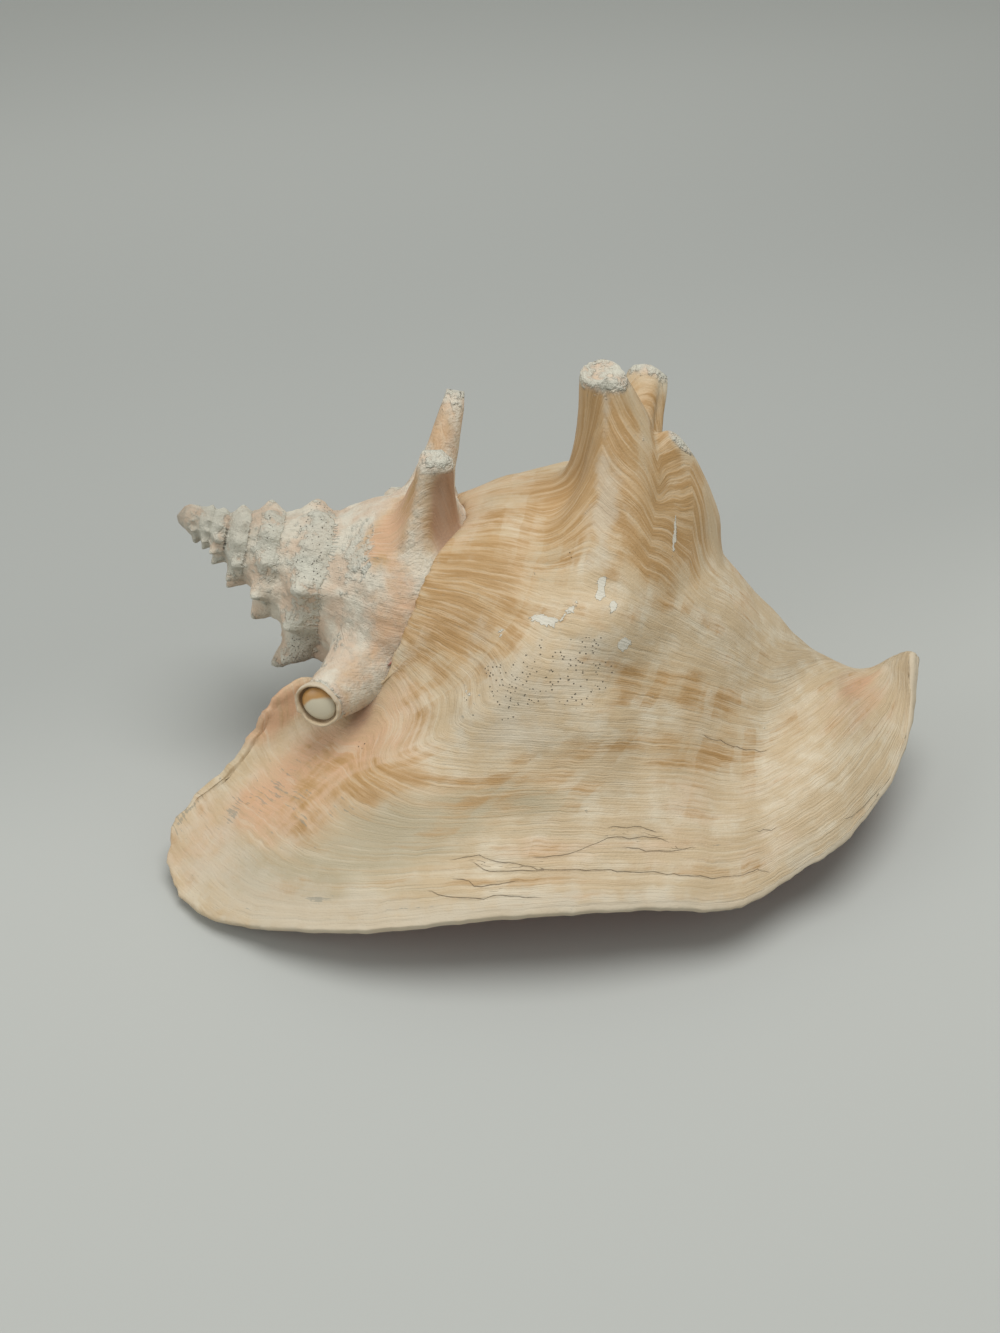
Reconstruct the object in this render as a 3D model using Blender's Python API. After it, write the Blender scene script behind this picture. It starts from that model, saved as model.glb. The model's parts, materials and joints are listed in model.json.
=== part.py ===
"""A queen conch shell, lying on its aperture: one closed body, as the animal grew it.

The shell is worked out in its own frame, in millimetres. x runs along the coiling axis from the
apex to the canal, and an angle of 0 is the shell's back, 90 its top and 180 its front. The growth
angle keeps counting from whorl to whorl, so that one number says how old each stretch is. The
outer skin is two grids, the spire and the last whorl. A third grid lines the hollow, from the rim
of the aperture inwards. At the end everything is turned to lie on its lip, and set in metres.
"""

import bmesh
import bpy
import numpy as np

MM = 0.001

# How the shell lies: its axis dips towards the canal.
AXIS_DIP = np.radians(15.9)
APEX_HEIGHT = 77.0

# Growth.
WHORL_RATIO = 1.46          # each whorl is this much larger than the one before
LAST_WHORL = (-125.0, 235.0)  # growth angles where the last whorl starts and ends
SPIRE_TURNS = 7
FLARE_START = 130.0         # here the lip leaves the spiral
SHOULDER_SOFTNESS = 0.04    # how round the shoulder is, as a share of its radius
CANAL_SPAN = 195.0          # the canal's rim turns through less than a whole whorl
CANAL_X = 228.0
CANAL_LIFT = 14.0           # how far the canal turns up at its end
CANAL_BEND_X = 200.0
SPIRE_SAG = (-2.2, -3.4)    # how far the middle of the spire lies off the straight axis, in y and z
SPIRE_SAG_X = 92.0
HEEL = 12.5                 # how far the underside bulges down where the shell stands on it
HEEL_X = 165.0
APEX_X = 0.8
APEX_BLUNTNESS = 2.8        # the worn apex is this much fatter than a true point

# Walls.
LIP_THICKNESS = 3.2
BODY_THICKNESS = 5.0
CAVITY_DEPTH = 165.0        # how far the hollow is followed inwards, in degrees

# The grids.
COLUMNS = 40                # for each turn
SPIRE_ROWS = 5
LAST_ROWS = 30
LINING_ROWS = 9
CORNER_ROW = 0.05           # the hollow keeps this far from the suture
SHOULDER = 1 / 3            # the row of the last whorl's shoulder, from 0 at the suture to 1

# Growth angle: x of the suture, x of the shoulder, radius at the shoulder.
GROWTH = [
    (-530, (36.6, 47.5, 21.5)), (-350, (43.9, 60.0, 28.5)), (-260, (48.2, 67.0, 33.5)),
    (-170, (53.0, 72.0, 37.5)), (-125, (56.0, 76.0, 39.5)), (-60, (64.0, 89.0, 43.0)),
    (0, (72.0, 103.0, 49.0)), (57, (79.5, 118.0, 55.5)), (110, (85.0, 122.0, 56.5)),
    (160, (80.5, 121.0, 57.0)), (205, (76.0, 120.0, 57.0)), (235, (66.0, 120.0, 57.0)),
]

# Below the shoulder: part of the way to the canal, and the radius as a share of the shoulder's.
TAPER = [
    (0, 1.0), (0.08, 0.985), (0.29, 0.82), (0.43, 0.67), (0.52, 0.56), (0.62, 0.46), (0.70, 0.375),
    (0.79, 0.30), (0.88, 0.23), (1.0, 0.21),
]

# The lip's edge from the suture round the wing to the canal's tip, and the way that it flares.
LIP_EDGE = [
    (0.00, (66, -20, -28)), (0.06, (51, -42, -15)), (0.11, (45, -47, -26)), (0.17, (39, -57, -42)),
    (0.24, (28, -72, -58)), (0.28, (32, -83.5, -65)), (0.33, (47, -97.5, -64)), (0.41, (80.5, -106, -40.5)),
    (0.52, (123.5, -102.5, -19)), (0.62, (163, -93, -10)), (0.69, (186, -86, -9)),
    (0.76, (201.5, -71, -4)), (0.85, (220, -50, 5.5)), (0.93, (232, -19, 14)), (1.00, (229, 8, 27)),
]
LIP_FLARE = [
    (0.00, (-0.3, 0.4, -0.8)), (0.08, (-0.8, -0.5, 0.2)), (0.24, (-0.7, -0.5, -0.5)),
    (0.33, (-0.2, -0.8, -0.55)), (0.41, (-0.1, -0.85, -0.5)), (0.52, (0.0, -0.88, -0.46)),
    (0.69, (0.15, -0.85, -0.48)), (0.85, (0.5, -0.6, -0.6)), (0.93, (0.6, -0.6, -0.1)),
    (1.00, (0.2, -0.8, 0.4)),
]

# Growth angle and x of the foot, half widths along and around the axis, where the tip comes, its radius.
SPINES = {
    "mound": (98, 130, 34, 32, (131, -5, 68), 9),
    "knob": (84, 144, 17, 21, (137, 17, 65), 7),
    "dorsal": (92, 122, 22, 23, (109, 12, 80), 5.5),
    "second": (40, 128, 20, 20, (126, 64, 58), 5.5),
    "back": (-2, 104, 18, 18, (101, 65, 2), 5),
    "foot": (-45, 93, 17, 18, (93, 56, -58), 7.5),
    "near": (-262, 73, 11, 13, (69, -7, 54), 4),
    "far": (-300, 71, 9, 11, (70, 33, 50), 3.2),
    "stub": (-168, 68, 11, 11, (60, -53, -9), 6.5),
    "hidden": (-345, 62, 9, 10, (60, 45, 12), 3.5),
}
SPINE_TAPER = 2.2
SHARP_SPINES = ("knob", "dorsal", "second", "back", "foot", "near", "far", "stub")

# The nodules of the spire's older whorls.
NODULE_STEP = 33.0
NODULE_LAST = -370.0
NODULE_HEIGHT = 0.1         # as a share of the distance from the apex
NODULE_WIDTH = 0.85         # as a share of the height


def through(points, at):
    """A smooth curve through a few points, read at each value of at."""
    place = np.array([point[0] for point in points], float)
    value = np.array([point[1] for point in points], float)
    slope = np.gradient(value, place, axis=0)
    at = np.asarray(at, float)
    low = np.clip(np.searchsorted(place, at) - 1, 0, len(place) - 2)
    width = place[low + 1] - place[low]
    t = (at - place[low]) / width
    if value.ndim == 2:
        t, width = t[..., None], width[..., None]
    return (
        (2 * t**3 - 3 * t**2 + 1) * value[low] + (t**3 - 2 * t**2 + t) * width * slope[low]
        + (3 * t**2 - 2 * t**3) * value[low + 1] + (t**3 - t**2) * width * slope[low + 1]
    )


def smooth(t):
    t = np.clip(t, 0, 1)
    return t * t * (3 - 2 * t)


def growth(angle):
    """x of the suture, x of the shoulder and radius at the shoulder. Older whorls are smaller copies."""
    angle = np.asarray(angle, float)
    whorls_back = np.maximum((GROWTH[0][0] - angle) / 360, 0)
    sizes = through(GROWTH, np.clip(angle, GROWTH[0][0], GROWTH[-1][0]))
    return sizes * (WHORL_RATIO**-whorls_back)[..., None]


def radius(angle, x, whorls=7):
    """The skin's distance from the axis: up from the suture to the shoulder, then down to the canal."""
    suture_x, shoulder_x, shoulder_r = np.moveaxis(growth(angle), -1, 0)
    if whorls:
        suture_r = radius(angle - 360, suture_x, whorls - 1)
    else:
        suture_r = 0.42 * suture_x
    rise = np.maximum((x - suture_x) / (shoulder_x - suture_x), 0)
    ramp = suture_r + (shoulder_r - suture_r) * rise**0.75
    fall = np.clip((x - shoulder_x) / (CANAL_X - shoulder_x), 0, 1)
    body = shoulder_r * through(TAPER, fall)
    soft = SHOULDER_SOFTNESS * shoulder_r
    return -soft * np.logaddexp(-ramp / soft, -body / soft)


def on_spiral(angle, x, turned=None):
    """A point of the skin where it still follows the spiral."""
    turned = np.radians(angle if turned is None else turned)
    r = radius(angle, x)
    r = r + APEX_BLUNTNESS * np.exp(-((x / 9) ** 2))
    lift = CANAL_LIFT * np.clip((x - CANAL_BEND_X) / (CANAL_X - CANAL_BEND_X), 0, 1.2) ** 1.7
    sag = np.sin(np.pi * np.clip(x / SPIRE_SAG_X, 0, 1)) ** 1.3
    y = r * np.cos(turned) + SPIRE_SAG[0] * sag
    heel = HEEL * np.exp(-(((x - HEEL_X) / 32) ** 2)) * np.maximum(-np.sin(turned), 0) ** 4
    z = r * np.sin(turned) + SPIRE_SAG[1] * sag + lift - heel
    return np.stack([x, y, z], -1)


def x_at_row(angle, row):
    suture_x, shoulder_x, _ = np.moveaxis(growth(angle), -1, 0)
    ramp = suture_x + (shoulder_x - suture_x) * row / SHOULDER
    below = shoulder_x + (CANAL_X - shoulder_x) * (row - SHOULDER) / (1 - SHOULDER)
    return np.where(row < SHOULDER, ramp, below)


def row_at_x(angle, x):
    suture_x, shoulder_x, _ = np.moveaxis(growth(angle), -1, 0)
    ramp = SHOULDER * (x - suture_x) / (shoulder_x - suture_x)
    below = SHOULDER + (1 - SHOULDER) * (x - shoulder_x) / (CANAL_X - shoulder_x)
    return np.where(x < shoulder_x, ramp, below)


def last_whorl(angle, row):
    """A point of the last whorl's skin, from its start to the lip's edge."""
    first, last = LAST_WHORL
    span = 1 + (CANAL_SPAN / 360 - 1) * smooth((row - 0.72) / 0.28)

    def spiral(at):
        turned = np.where(at > first, first + (at - first) * span, at)
        return on_spiral(at, x_at_row(at, row), turned)

    flat = np.minimum(angle, FLARE_START)
    start = spiral(np.full_like(angle, FLARE_START))
    heading = spiral(np.full_like(angle, FLARE_START + 1.0)) - spiral(np.full_like(angle, FLARE_START - 1.0))
    edge = through(LIP_EDGE, row)
    flare = through(LIP_FLARE, row)
    reach = np.linalg.norm(edge - start, axis=-1, keepdims=True)
    heading = heading / np.linalg.norm(heading, axis=-1, keepdims=True) * reach
    flare = flare / np.linalg.norm(flare, axis=-1, keepdims=True) * reach
    t = np.clip((angle - FLARE_START) / (last - FLARE_START), 0, 1)[..., None]
    lip = (
        (2 * t**3 - 3 * t**2 + 1) * start + (t**3 - 2 * t**2 + t) * heading
        + (3 * t**2 - 2 * t**3) * edge + (t**3 - t**2) * flare
    )
    bound = spiral(angle) + t**3 * (edge - spiral(np.full_like(angle, last)))
    free = smooth(row / 0.14)[..., None]
    lip = bound + (lip - bound) * free
    return np.where(angle[..., None] > FLARE_START, lip, spiral(flat))


def outward(angle, row):
    """The skin's outward direction at each place."""
    step_angle, step_row = 0.5, 0.004
    back = np.minimum(row, 1 - step_row)
    along = last_whorl(angle, back + step_row) - last_whorl(angle, np.maximum(back - step_row, 0))
    last = LAST_WHORL[1]
    around = last_whorl(np.minimum(angle + step_angle, last), row) - last_whorl(angle - step_angle, row)
    normal = np.cross(around, along)
    return normal / np.maximum(np.linalg.norm(normal, axis=-1, keepdims=True), 1e-9)


def sheet(columns, rows, place):
    """A grid of faces, whose point (column, row) goes where place says."""
    bm = bmesh.new()
    bmesh.ops.create_grid(bm, x_segments=columns, y_segments=rows, size=1)
    column = np.array([(vert.co.x + 1) / 2 * columns for vert in bm.verts]).round()
    row = np.array([(vert.co.y + 1) / 2 * rows for vert in bm.verts]).round()
    for vert, co in zip(bm.verts, place(column, row)):
        vert.co = co
    mesh = bpy.data.meshes.new("sheet")
    bm.to_mesh(mesh)
    bm.free()
    return mesh


def spire_point(column, row):
    """The older whorls: each column runs from one suture to the next."""
    angle = LAST_WHORL[0] - 360 * SPIRE_TURNS + 360 * column / COLUMNS
    suture_x = growth(angle)[..., 0]
    next_x = growth(angle + 360)[..., 0]
    return on_spiral(angle, suture_x + (next_x - suture_x) * row / SPIRE_ROWS)


def outer_point(column, row):
    angle = LAST_WHORL[0] + 360 * column / COLUMNS
    row = row / LAST_ROWS
    at_rim = (column == COLUMNS) | ((row == 1) & (column > 0))
    inset = LIP_THICKNESS / 2 * smooth(row / 0.08) * at_rim
    return last_whorl(angle, row) - outward(angle, row) * inset[..., None]


def behind(angle, row, wall):
    """A point inside the wall, this far behind the skin."""
    return last_whorl(angle, row) - outward(angle, row) * wall[..., None]


def lining_point(column, depth):
    """The hollow's lining. A column runs inwards from one point of the aperture's rim.

    The columns go along the lip's edge, then back round the canal's rim, then up the columella.
    """
    first, last = LAST_WHORL
    deep = depth / LINING_ROWS
    inside = smooth(deep * 5)
    turned_in = CAVITY_DEPTH * deep**1.4
    lip_angle = last - turned_in
    pillar_angle = first - turned_in
    row_end = 1 - 0.16 * deep**0.8
    wall = LIP_THICKNESS / 2 + (LIP_THICKNESS / 2 + (BODY_THICKNESS - LIP_THICKNESS) * deep) * inside

    on_lip = np.clip(column / LAST_ROWS, 0, 1)
    on_canal = np.clip((column - LAST_ROWS) / COLUMNS, 0, 1)
    on_pillar = np.clip((column - LAST_ROWS - COLUMNS) / (LAST_ROWS - SPIRE_ROWS), 0, 1)

    lip_first = CORNER_ROW * inside
    lip_row = lip_first + (row_end - lip_first) * on_lip
    lip = behind(lip_angle, lip_row, wall * np.maximum(smooth(on_lip / 0.08), inside))

    pillar_last = row_at_x(pillar_angle, growth(pillar_angle + 360)[..., 0]) + CORNER_ROW * inside
    pillar = last_whorl(pillar_angle, row_end + (pillar_last - row_end) * on_pillar)

    # Both ends of the loop meet in the corner by the suture.
    lip_corner = behind(lip_angle, lip_first, wall * inside)
    pillar_corner = last_whorl(pillar_angle, pillar_last)
    corner = (lip_corner + pillar_corner) / 2
    lip = lip + (corner - lip_corner) * (1 - smooth(on_lip / 0.1))[..., None]
    pillar = pillar + (corner - pillar_corner) * (1 - smooth((1 - on_pillar) / 0.15))[..., None]

    # The canal's rim narrows inwards to the gap between the lip and the columella.
    canal_angle = lip_angle + (first - lip_angle) * on_canal
    canal = behind(canal_angle, row_end, wall * (1 - on_canal * (column == LAST_ROWS + COLUMNS)))
    lip_end = behind(lip_angle, row_end, wall)
    across = lip_end + (last_whorl(pillar_angle, row_end) - lip_end) * on_canal[..., None]
    canal = canal + (across - canal) * smooth(deep * 2.2)[..., None]

    point = np.where((column <= LAST_ROWS)[..., None], lip, canal)
    return np.where((column >= LAST_ROWS + COLUMNS)[..., None], pillar, point)


def raise_nodules(points):
    """Blunt nodules along the shoulders of the spire's older whorls."""
    angle = NODULE_LAST
    while growth(angle)[0] > 6:
        centre_x = growth(angle)[1]
        foot, along, around, up = spine_frame(angle, centre_x)
        size = NODULE_HEIGHT * centre_x
        offset = points - foot
        distance = np.hypot(offset @ along / 1.2, offset @ around) / (NODULE_WIDTH * size)
        rise = size * np.exp(-(distance**2)) * (np.abs(offset @ up) < 2 * size)
        points = points + np.outer(rise, up - 0.3 * along)
        angle -= NODULE_STEP
    return points


def spine_frame(angle, x):
    """The middle of a spine's foot, with the directions along the axis, around it and outwards."""
    foot = on_spiral(np.array(angle, float), np.array(x, float))
    along = on_spiral(np.array(angle, float), np.array(x + 1.0)) - foot
    along /= np.linalg.norm(along)
    around = on_spiral(np.array(angle + 1.0), np.array(x, float)) - foot
    around -= along * (around @ along)
    around /= np.linalg.norm(around)
    return foot, along, around, np.cross(around, along)


def raise_spine(points, angle, x, long, wide, tip_at, tip):
    """Draws the skin inside an oval out into a horn with hollow flanks and a rounded tip."""
    foot, along, around, up = spine_frame(angle, x)
    axis = np.array(tip_at, float) - foot
    height = np.linalg.norm(axis)

    flank = np.linspace(1, 0, 40)
    cap = np.linspace(1, 0, 12)[1:]
    mean = (long + wide) / 2
    share = np.concatenate([flank, cap * 0])            # of the way from the tip's edge to the rim
    on_cap = np.concatenate([flank * 0 + 1, cap])
    rise = np.concatenate([(height - tip / 3) * (1 - flank) ** SPINE_TAPER, height - tip / 3 * cap**2])
    out = share * (mean - tip) + tip * on_cap
    length = np.concatenate([[0], np.cumsum(np.hypot(np.diff(out), np.diff(rise)))])
    length /= length[-1]

    offset = points - foot
    a, b, c = offset @ along / long, offset @ around / wide, offset @ up
    distance = np.hypot(a, b)
    inside = (distance < 1) & (np.abs(c) < 0.9 * mean)
    at = 1 - np.minimum(distance, 1)
    share, on_cap, rise = (np.interp(at, length, values) for values in (share, on_cap, rise))
    a, b = a / np.maximum(distance, 1e-6), b / np.maximum(distance, 1e-6)
    new_a = a * (share * (long - tip) + tip * on_cap)
    new_b = b * (share * (wide - tip) + tip * on_cap)
    shrink = (np.hypot(new_a, new_b) / np.maximum(np.hypot(a * long, b * wide) * distance, 1e-6)) ** 2
    part = rise / height

    # The horn's cross-section turns from lying in the skin to lying across its own axis.
    turn = smooth(part * 1.6)[:, None] / height**2
    along = along - turn * (along @ axis) * axis
    around = around - turn * (around @ axis) * axis
    along /= np.linalg.norm(along, axis=1, keepdims=True)
    around /= np.linalg.norm(around, axis=1, keepdims=True)
    moved = (
        foot + new_a[:, None] * along + new_b[:, None] * around
        + np.outer(c * np.minimum(shrink, 1), up) + np.outer(part, axis)
    )
    return np.where(inside[:, None], moved, points)


def refine(bm, angle, x, long, wide):
    """Divides the faces that a spine will be drawn from."""
    foot, along, around, up = spine_frame(angle, x)
    edges = set()
    for face in bm.faces:
        offset = np.array(face.calc_center_median()) - foot
        apart = np.hypot(offset @ along / long, offset @ around / wide)
        if apart < 0.85 and abs(offset @ up) < 0.5 * long:
            edges.update(face.edges)
    bmesh.ops.subdivide_edges(bm, edges=list(edges), cuts=1, use_grid_fill=True)


def lie_down(points):
    """From the shell's own frame to how it lies, in millimetres, with its middle over the origin."""
    x, y, z = points.T
    cos, sin = np.cos(AXIS_DIP), np.sin(AXIS_DIP)
    lying = np.stack([x * cos + z * sin, y, APEX_HEIGHT - x * sin + z * cos], -1)
    lying[:, 2] = np.maximum(lying[:, 2], 0)            # worn flat where it stands
    middle = (lying.min(0) + lying.max(0)) / 2
    return lying - [middle[0], middle[1], 0]


def fill_loops(bm):
    """Closes the inner end of the hollow, and the apex with a small dome."""
    rims = [edge for edge in bm.edges if edge.is_boundary]
    ends = bmesh.ops.holes_fill(bm, edges=rims, sides=0)["faces"]
    apex = min(ends, key=lambda face: face.calc_center_median().x)
    bmesh.ops.poke(bm, faces=[apex])["verts"][0].co.x = APEX_X


def shell():
    bm = bmesh.new()
    lining_columns = LAST_ROWS + COLUMNS + LAST_ROWS - SPIRE_ROWS
    for mesh in (
        sheet(COLUMNS * SPIRE_TURNS, SPIRE_ROWS, spire_point),
        sheet(COLUMNS, LAST_ROWS, outer_point),
        sheet(lining_columns, LINING_ROWS, lining_point),
    ):
        bm.from_mesh(mesh)
        bpy.data.meshes.remove(mesh)
    bm.faces.ensure_lookup_table()
    lining = set(bm.faces[-lining_columns * LINING_ROWS:])
    bmesh.ops.remove_doubles(bm, verts=bm.verts, dist=0.05)
    fill_loops(bm)
    bmesh.ops.recalc_face_normals(bm, faces=bm.faces)
    inner = {vert for face in lining if face.is_valid for vert in face.verts}
    for name in SHARP_SPINES:
        refine(bm, *SPINES[name][:4])
    outer = [vert for vert in bm.verts if vert not in inner]
    points = raise_nodules(np.array([vert.co[:] for vert in outer]))
    for spine in SPINES.values():
        points = raise_spine(points, *spine)
    for vert, co in zip(outer, points):
        vert.co = co
    for vert, co in zip(bm.verts, lie_down(np.array([vert.co[:] for vert in bm.verts])) * MM):
        vert.co = co
    bmesh.ops.triangulate(bm, faces=bm.faces)
    mesh = bpy.data.meshes.new("conch_shell")
    bm.to_mesh(mesh)
    bm.free()
    mesh.shade_smooth()
    return mesh


def shell_material():
    material = bpy.data.materials.new("shell")
    material.use_nodes = True
    surface = material.node_tree.nodes["Principled BSDF"]
    surface.inputs["Base Color"].default_value = (0.78, 0.60, 0.42, 1)
    surface.inputs["Roughness"].default_value = 0.6
    surface.inputs["Metallic"].default_value = 0.0
    return material


def main():
    for thing in list(bpy.data.objects):
        bpy.data.objects.remove(thing)
    conch = bpy.data.objects.new("conch_shell", shell())
    conch.data.materials.append(shell_material())
    bpy.context.scene.collection.objects.link(conch)


main()
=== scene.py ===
# %% [markdown]
# # A queen conch shell, lying on its aperture
# The shell is one natural body. A conch grows by adding a thin strip of shell to its lip, over
# and over, while it turns round an axis. So the whole outer skin can be worked out from two
# numbers: the growth angle, which says how old a place is, and how far along the axis it lies.
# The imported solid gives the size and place. Two finer skins, built by the same rules of growth,
# are shown instead of it: the spire, and the last whorl with its flared lip.

# %% The fixed frame
import json
import math
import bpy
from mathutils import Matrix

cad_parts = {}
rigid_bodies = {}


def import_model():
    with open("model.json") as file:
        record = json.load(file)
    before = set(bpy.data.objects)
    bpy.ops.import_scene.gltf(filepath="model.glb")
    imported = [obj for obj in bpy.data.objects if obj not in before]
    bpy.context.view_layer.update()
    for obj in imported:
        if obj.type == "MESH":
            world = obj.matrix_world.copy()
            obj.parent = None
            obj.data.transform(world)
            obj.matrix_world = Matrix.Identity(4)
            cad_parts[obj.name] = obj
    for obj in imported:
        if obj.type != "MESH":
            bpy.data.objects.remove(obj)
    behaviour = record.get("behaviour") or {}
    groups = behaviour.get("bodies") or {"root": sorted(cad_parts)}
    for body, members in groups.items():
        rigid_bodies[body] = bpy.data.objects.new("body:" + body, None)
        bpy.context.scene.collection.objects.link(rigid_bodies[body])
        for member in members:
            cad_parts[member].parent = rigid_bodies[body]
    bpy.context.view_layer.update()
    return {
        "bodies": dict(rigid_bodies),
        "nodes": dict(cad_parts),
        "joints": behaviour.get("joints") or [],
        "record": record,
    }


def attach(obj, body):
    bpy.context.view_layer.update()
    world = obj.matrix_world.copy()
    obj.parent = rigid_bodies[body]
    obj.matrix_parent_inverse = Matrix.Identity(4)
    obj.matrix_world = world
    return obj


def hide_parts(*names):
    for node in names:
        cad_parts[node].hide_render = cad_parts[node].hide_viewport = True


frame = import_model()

from types import SimpleNamespace

import bmesh
import bpy
import numpy as np
from mathutils import Vector, noise

# %% [markdown]
# ## The shell's own frame
# It is easier to think of a shell in its own frame than as it lies. Here x runs in millimetres
# along the coiling axis, from the apex to the canal. An angle of 0 is the shell's back, 90 its
# top and 180 the side that faces us. The axis dips towards the canal, and the lip stands on the
# ground, so one last step turns every point to how it lies, in metres.

# %% How the shell lies
MM = 0.001
AXIS_DIP = math.radians(15.9)
APEX_HEIGHT = 77.0
MIDDLE = (114.857, -19.76)
RESTING = 1.5       # what would reach lower than this is worn away by the ground


def lie_down(points):
    """From the shell's own frame to how it lies, in metres."""
    x, y, z = points.T
    cos, sin = math.cos(AXIS_DIP), math.sin(AXIS_DIP)
    height = APEX_HEIGHT - x * sin + z * cos
    worn = RESTING * np.exp(np.minimum(height, RESTING) / RESTING - 1)
    height = np.where(height < RESTING, worn, height)
    return np.stack([x * cos + z * sin - MIDDLE[0], y - MIDDLE[1], height], -1) * MM


def stand_up(points):
    """Back from how the shell lies, in metres, to the x, y and z of its own frame."""
    x, y, z = (points / MM).T
    cos, sin = math.cos(AXIS_DIP), math.sin(AXIS_DIP)
    along, up = x + MIDDLE[0], z - APEX_HEIGHT
    return along * cos - up * sin, y + MIDDLE[1], along * sin + up * cos


# %% [markdown]
# ## Smooth curves through a few points
# A shell has no straight lines and no sharp changes. Each profile below is a handful of points,
# and these helpers draw the smooth curve through them, soft steps from 0 to 1, and the small
# unevenness that everything grown has.

# %% Curve helpers
WAVE_SAMPLES = 6
NOISE_GAIN = 1.6        # Blender's noise stays within about 0.6 of 0


def swept(t, start, heading, end, arriving):
    """The curve that leaves the start with one direction and arrives at the end with another."""
    return (
        (2 * t**3 - 3 * t**2 + 1) * start + (t**3 - 2 * t**2 + t) * heading
        + (3 * t**2 - 2 * t**3) * end + (t**3 - t**2) * arriving
    )


def through(points, at):
    """The smooth curve through a list of (place, value) points, at these places."""
    place = np.array([point[0] for point in points], float)
    value = np.array([point[1] for point in points], float)
    slope = np.gradient(value, place, axis=0)
    at = np.asarray(at, float)
    low = np.clip(np.searchsorted(place, at) - 1, 0, len(place) - 2)
    width = place[low + 1] - place[low]
    t = (at - place[low]) / width
    if value.ndim == 2:
        t, width = t[..., None], width[..., None]
    return swept(t, value[low], width * slope[low], value[low + 1], width * slope[low + 1])


def smooth(t):
    """A soft step: 0 up to 0, 1 from 1 on."""
    t = np.clip(t, 0, 1)
    return t * t * (3 - 2 * t)


def waver(values, size, seed):
    """Smooth noise along one number, between -1 and 1, in waves of this size."""
    grid = np.arange(values.min() - size, values.max() + 2 * size, size / WAVE_SAMPLES)
    waves = [noise.noise(Vector((at / size, seed, 0))) for at in grid]
    return np.interp(values, grid, waves) * NOISE_GAIN


def unevenness(points, size):
    """Smooth noise in space, with bumps of this size."""
    return np.array([noise.noise(Vector(point / size)) for point in points])


def nearness(points, centre, size):
    """1 at the centre, and fading softly to 0 round it."""
    return np.exp(-((np.linalg.norm(points - centre, axis=1) / size) ** 2))


def unit(vectors):
    return vectors / np.maximum(np.linalg.norm(vectors, axis=-1, keepdims=True), 1e-9)


# %% [markdown]
# ## How the whorls grow
# Each whorl is a larger copy of the one before it, so the older ones need no numbers of their
# own. For the newest whorls the table gives, at a few growth angles, where the suture is (the
# seam between two whorls), where the shoulder is, and how far the shoulder is from the axis.

# %% Growth
WHORL_RATIO = 1.46
LAST_WHORL = (-125.0, 235.0)
SPIRE_TURNS = 7
GROWTH = [
    (-530, (36.6, 47.5, 20.3)), (-350, (43.9, 60.0, 28.0)), (-260, (48.2, 67.0, 33.5)),
    (-170, (53.0, 72.0, 37.5)), (-125, (56.0, 76.0, 39.5)), (-60, (64.0, 89.0, 43.0)),
    (0, (72.0, 103.0, 49.0)), (57, (79.5, 118.0, 55.5)), (95, (84.5, 121.5, 56.3)),
    (122, (79.0, 122.0, 56.7)), (160, (77.5, 121.0, 57.0)), (205, (75.0, 120.0, 57.0)),
    (235, (66.0, 120.0, 57.0)),
]


def growth(angle):
    """The suture's x, the shoulder's x and the shoulder's radius at a growth angle."""
    angle = np.asarray(angle, float)
    whorls_back = np.maximum((GROWTH[0][0] - angle) / 360, 0)
    sizes = through(GROWTH, np.clip(angle, GROWTH[0][0], GROWTH[-1][0]))
    return sizes * (WHORL_RATIO**-whorls_back)[..., None]


print("growth at the lip: suture, shoulder and radius", growth(LAST_WHORL[1]), "mm")

# %% [markdown]
# ## The profile of a whorl
# From the suture a ramp climbs out to the shoulder, and from there the skin falls away to the
# canal. Both are worked out, and the lower one of the two counts, with a soft turn between them.
# Every whorl's ramp starts from the whorl before it, so the function asks itself for that one.

# %% Profile
CANAL_X = 228.0
SHOULDER_SOFTNESS = 0.04
RAMP_BULGE = 0.75
APEX_WIDTH = 0.42           # radius of the very first whorl, in each millimetre of x
TAPER = [
    (0, 1.0), (0.08, 0.985), (0.29, 0.82), (0.43, 0.67), (0.52, 0.56), (0.62, 0.46), (0.70, 0.375),
    (0.79, 0.30), (0.88, 0.23), (1.0, 0.21),
]


def radius(angle, x, whorls=SPIRE_TURNS):
    suture_x, shoulder_x, shoulder_r = np.moveaxis(growth(angle), -1, 0)
    suture_r = radius(angle - 360, suture_x, whorls - 1) if whorls else APEX_WIDTH * suture_x
    rise = np.maximum((x - suture_x) / (shoulder_x - suture_x), 0)
    ramp = suture_r + (shoulder_r - suture_r) * rise**RAMP_BULGE
    fall = np.clip((x - shoulder_x) / (CANAL_X - shoulder_x), 0, 1)
    body = shoulder_r * through(TAPER, fall)
    soft = SHOULDER_SOFTNESS * shoulder_r
    return -soft * np.logaddexp(-ramp / soft, -body / soft)


# %% [markdown]
# ## The spiral in space
# Turning the profile round the axis gives the spiral. A real shell is never quite true to it:
# the spire sags, the canal bends up, the underside has a heel that the shell stands on, and the
# apex is blunt and closed by a small dome.

# %% Spiral
SPIRE_SAG = (-2.2, -3.4)
SPIRE_SAG_X = 92.0
SPIRE_SAG_CURVE = 1.3
CANAL_BEND_X = 200.0
CANAL_LIFT = 14.0
CANAL_LIFT_CURVE = 1.7
HEEL_X = 165.0
HEEL_LENGTH = 32.0
HEEL_DEPTH = 12.5
HEEL_NARROWNESS = 4
APEX_BLUNTNESS = 4.0
APEX_LENGTH = 8.0           # the apex is blunt over this length, and a dome closes it
DOME_FROM = 4.0
DOME_PULL = 4.5
DOME_CLOSING = 0.97


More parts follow.
